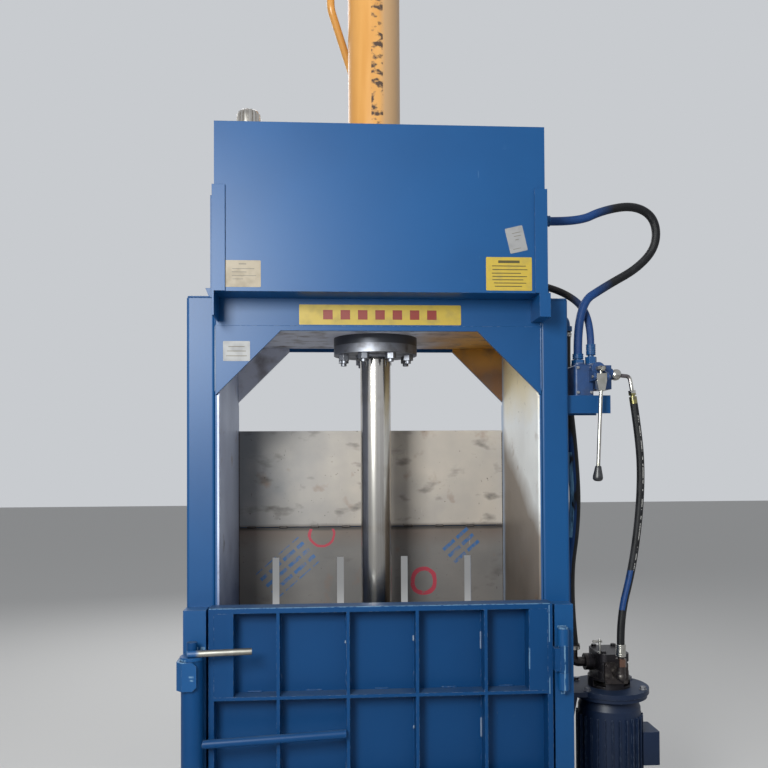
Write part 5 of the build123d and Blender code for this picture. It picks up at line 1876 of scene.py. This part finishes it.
@dataclass
class LeverGrip:
    """Egg-shaped grip of the valve's lever."""

    start: Point = (690.4, -285, 1354.3)
    way: Point = (-0.0471, 0.0, -0.9989)
    profile: tuple[tuple[float, float], ...] = (
        (0, -2),
        (8.0, -2),
        (9.6, 0),
        (10.6, 5),
        (12.4, 15),
        (14.8, 26),
        (16.0, 34),
        (15.6, 39),
        (13.2, 43.5),
        (8.0, 46.4),
        (0, 47),
    )

    def build(self) -> None:
        """Turn the grip."""
        grip = bmesh.new()
        lathe(grip, self.profile, facing(self.start, self.way))
        finish_piece("lever_grip", grip, PLASTIC, Body.LEVER, ("lever_knob",), sharp=50)


@dataclass
class HoseEnds:
    """Crimped shells over the hose ends, and the clamps of the suction hose."""

    painted: tuple[tuple[Point, Point, float, float], ...] = (
        ((529.6, -200, 2158), (1, 0, 0), 34.2, 28),
        ((524.2, -62, 1978), (1, 0, 0), 20.6, 24),
        ((657, -190, 1705.9), (0, 0, 1), 17.0, 28),
        ((706, -172, 1721.6), (0, 0, 1), 35.2, 24),
    )
    bright: tuple[tuple[Point, Point, float, float], ...] = (
        ((786, -202, 733.8), (0, 0, 1), 39.0, 25),
    )
    clamps: tuple[tuple[Point, float], ...] = (((650, -70, 1796), 19.4), ((669, -58, 728), 23.3))
    wall: float = 3.9
    jaw: float = 7.0
    press: float = 0.8
    lip: float = 1.2

    def build(self) -> None:
        """Turn the shells and bend the clamps."""
        for name, ends, finish in (
            ("painted_crimps", self.painted, BLUE),
            ("bright_crimps", self.bright, ZINC),
        ):
            shape = bmesh.new()
            for start, way, length, bore in ends:
                self.crimp(shape, facing(start, way), length, bore / 2)
            finish_piece(name, shape, finish, Body.FRAME, sharp=25)
        shape = bmesh.new()
        for place, radius in self.clamps:
            at = facing(place, (0, 0, 1))
            ring = ((radius, 0), (radius + 1.2, 0), (radius + 1.2, 12), (radius, 12), (radius, 0))
            lathe(shape, ring, at, steps=40)
            box = bmesh.ops.create_cube(
                shape,
                size=0.001,
                matrix=at
                @ Matrix.Translation(metres(0, -radius - 5, 6))
                @ Matrix.Diagonal((16, 8, 13, 1)),
            )
            bmesh.ops.bevel(
                shape,
                geom=list({e for v in box["verts"] for e in v.link_edges}),
                offset=0.0015,
                offset_type="OFFSET",
                affect="EDGES",
                segments=2,
                profile=0.5,
                material=-1,
            )
            screw = facing((place[0] + 8, place[1] - radius - 6, place[2] + 6), (1, 0, 0))
            Bolt(7, 6, 0).add(shape, screw)
        finish_piece("hose_clamps", shape, ZINC, Body.FRAME)

    def crimp(self, shape: bmesh.types.BMesh, at: Matrix, length: float, bore: float) -> None:
        """Turn one shell with a groove at each press of the crimping jaws.

        Args:
            shape: The shape that takes it.
            at: The frame at its start, whose Z looks along the hose.
            length: Its length in millimetres.
            bore: Inner radius.
        """
        outer = bore + self.wall
        pressed = outer - self.press
        rows = max(2, round(length / self.jaw))
        pitch = (length - 4) / rows
        profile = [(bore + 0.6, 0.0), (pressed, 0.0), (outer, self.lip)]
        for row in range(rows):
            foot = 2 + row * pitch
            profile += [
                (outer, foot + pitch * 0.12),
                (pressed, foot + pitch * 0.24),
                (pressed, foot + pitch * 0.76),
                (outer, foot + pitch * 0.88),
            ]
        profile += [(outer, length - self.lip), (pressed, length)]
        profile += [(bore + 0.3, length), (bore + 0.6, 0.0)]
        lathe(shape, profile, at)


@dataclass
class Fasteners:
    """Screws and bolts of valve, pump and table, and the wiper under the gland."""

    valve_front: float = -240.0
    table_top: float = 608.0
    motor: tuple[float, float] = (786.0, -80.0)
    circle: float = 115.0
    screws: tuple[tuple[float, float], ...] = ((641, 1593), (641, 1673), (685, 1593), (685, 1673))
    turns: tuple[float, ...] = (35, 145, 215, 325)
    bleed: tuple[tuple[float, float], ...] = (
        (0, -1),
        (6, -1),
        (6, 4),
        (3.8, 5),
        (3.8, 44),
        (2.8, 46),
        (0, 46),
    )
    tommy_bar: tuple[tuple[float, float], ...] = (
        (0, 0),
        (3.4, 0),
        (4.0, 1.5),
        (4.0, 30.5),
        (3.4, 32),
        (0, 32),
    )
    wiper: tuple[tuple[float, float], ...] = (
        (53.2, 0),
        (55, 6),
        (63, 6),
        (66, 3.5),
        (66, -0.4),
        (53.2, -0.4),
        (53.2, 0),
    )
    dome: tuple[tuple[float, float], ...] = (
        (0, -3),
        (17.5, -3),
        (18.5, 0),
        (18.0, 5),
        (15.0, 10.5),
        (10.0, 14.5),
        (5.0, 16.5),
        (0, 17),
    )
    lever_nut: tuple[tuple[float, float], ...] = (
        (0, -4),
        (8, -4),
        (9, 0),
        (9, 7),
        (6.5, 10),
        (0, 11),
    )

    def build(self) -> None:
        """Make the screws in their finishes."""
        socket = Bolt(across=10, height=6, washer=0, sides=16)
        dark = bmesh.new()
        for x, z in self.screws:
            socket.add(dark, facing((x, self.valve_front, z), (0, -1, 0)))
        finish_piece("valve_screws", dark, DARK_STEEL, Body.FRAME)
        bolts = bmesh.new()
        for turn in self.turns:
            angle = math.radians(turn)
            x = self.motor[0] + self.circle * math.cos(angle)
            y = self.motor[1] + self.circle * math.sin(angle)
            Bolt(17, 9, 12, 2).add(bolts, facing((x, y, self.table_top), (0, 0, 1)))
        finish_piece("table_bolts", bolts, DARK_STEEL, Body.FRAME)
        bleed = bmesh.new()
        lathe(bleed, self.bleed, facing((741, -125, 727), (0, 0, 1)), steps=20)
        lathe(bleed, self.tommy_bar, facing((717, -125, 766), (1, 0, 0)), steps=20)
        finish_piece("pump_bleed_screw", bleed, ZINC, Body.FRAME)
        domed = bmesh.new()
        lathe(domed, self.dome, facing((776, -206, 1652.5), (-0.1, -1, 0)), steps=36)
        finish_piece("elbow_cap", domed, ZINC, Body.FRAME)
        nut = bmesh.new()
        lathe(nut, self.lever_nut, facing((705, -291, 1664), (0, -1, 0.15)), steps=6)
        finish_piece("lever_nut", nut, ZINC, Body.LEVER, sharp=25)
        low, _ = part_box("cylinder_gland")
        wiper = bmesh.new()
        lathe(wiper, self.wiper, facing((0, 0, low[2] * 1000), (0, 0, -1)), steps=72)
        finish_piece("rod_wiper", wiper, PLASTIC, Body.FRAME, sharp=30)


@dataclass
class Sticker:
    """A vinyl sticker on a flat front, with plain printed blocks."""

    name: str
    centre: tuple[float, float]
    size: tuple[float, float]
    face: float
    film: Vinyl
    ink: Vinyl
    blocks: tuple[tuple[float, float, float, float], ...]
    tilt: float = 0.0
    thickness: float = 0.5

    def build(self) -> None:
        """Make the film with rounded corners, and its blocks a hair in front."""
        at = (
            Matrix.Translation(metres(self.centre[0], self.face, self.centre[1]))
            @ Matrix.Rotation(math.radians(self.tilt), 4, "Y")
            @ Matrix.Rotation(math.radians(90), 4, "X")
        )
        film = bmesh.new()
        self.sheet(film, at, (0, 0, *self.size), 3.0, 0.0, self.thickness)
        finish_piece(self.name, film, self.film, Body.FRAME)
        if self.blocks:
            print_shape = bmesh.new()
            for block in self.blocks:
                self.sheet(print_shape, at, block, 0.6, self.thickness, self.thickness + 0.12)
            finish_piece(self.name + "_print", print_shape, self.ink, Body.FRAME)

    def sheet(
        self,
        shape: bmesh.types.BMesh,
        at: Matrix,
        block: tuple[float, float, float, float],
        corner: float,
        bottom: float,
        top: float,
    ) -> None:
        """Add a thin sheet with rounded corners.

        Args:
            shape: The shape that takes it.
            at: The sticker's frame.
            block: Its centre and size on the sticker.
            corner: Corner radius.
            bottom: Its lower level over the face.
            top: Its upper level.
        """
        x, y, width, height = block
        centre = at @ Matrix.Translation(metres(x, y, bottom))
        made = bmesh.ops.create_grid(
            shape,
            x_segments=1,
            y_segments=1,
            size=0.0005,
            matrix=centre @ Matrix.Diagonal((width, height, 1, 1)),
        )
        bmesh.ops.bevel(
            shape,
            geom=made["verts"],
            offset=corner / 1000,
            offset_type="OFFSET",
            affect="VERTICES",
            segments=3,
            profile=0.5,
            material=-1,
        )
        middle = at @ metres(x, y, bottom)
        near = min(shape.faces, key=lambda f: (f.calc_center_median() - middle).length)
        raised(shape, [near], at.to_3x3() @ metres(0, 0, top - bottom))


CREAM = Vinyl(title="vinyl_cream", colour="#897e69", dust="#7a705d")
WHITE = Vinyl(title="vinyl_white", colour="#8c8d8d", dust="#7b7c7d")
GOLD = Vinyl(title="vinyl_yellow", colour="#ae973a", dust="#978640")
RED_INK = Vinyl(title="vinyl_red_print", colour="#7c2a22", dust="#7b342a")
GREY_INK = Vinyl(title="vinyl_grey_print", colour="#5c5648", dust="#5a5448")
DARK_INK = Vinyl(title="vinyl_dark_print", colour="#4a4527", dust="#4d4a2e")

STICKERS = (
    Sticker(
        "cream_label",
        (-415.9, 1937),
        (108, 80),
        -385,
        CREAM,
        GREY_INK,
        (
            (0, 29, 22, 3),
            (2, 15, 66, 1.8),
            (-10, 5, 44, 1.8),
            (4, -6, 72, 1.8),
            (-14, -16, 32, 1.8),
        ),
    ),
    Sticker(
        "yellow_label",
        (387.3, 1943),
        (141, 102),
        -385,
        GOLD,
        DARK_INK,
        ((0, 37, 66, 8),)
        + tuple(
            (x, y, w, 2.6)
            for x, y, w in (
                (0, 24, 104),
                (3, 13, 108),
                (-8, 2, 90),
                (2, -8, 106),
                (-4, -18, 96),
                (3, -28, 100),
                (-2, -38, 84),
            )
        ),
    ),
    Sticker(
        "tilted_label",
        (410.5, 2048.5),
        (55, 78),
        -385,
        WHITE,
        GREY_INK,
        ((4, 20, 26, 1.4), (6, 10, 22, 1.4), (2, -1, 12, 1.4), (-4, -28, 24, 1.2)),
        tilt=-13,
    ),
    Sticker(
        "mouth_strip",
        (2.0, 1834),
        (509, 63),
        -275,
        GOLD,
        RED_INK,
        tuple((-165 + i * 54.5, 0, 30, 30) for i in range(7)),
    ),
    Sticker(
        "post_label",
        (-446.3, 1719.3),
        (83, 62),
        -275,
        WHITE,
        GREY_INK,
        tuple((0, y, w, 2.6) for y, w in ((14, 50), (0, 58), (-15, 64))),
    ),
)


def main() -> None:
    """Build the pieces in order."""
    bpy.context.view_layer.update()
    Viewpoint().camera()
    for hose in HOSES:
        hose.build()
    Studio().build()
    dress_nodes()
    FrameSeams().build()
    DoorStitches().build()
    FillerCap().build()
    LeverGrip().build()
    HoseEnds().build()
    Fasteners().build()
    for sticker in STICKERS:
        sticker.build()


if __name__ == "__main__":
    logging.basicConfig(level=logging.INFO)
    main()
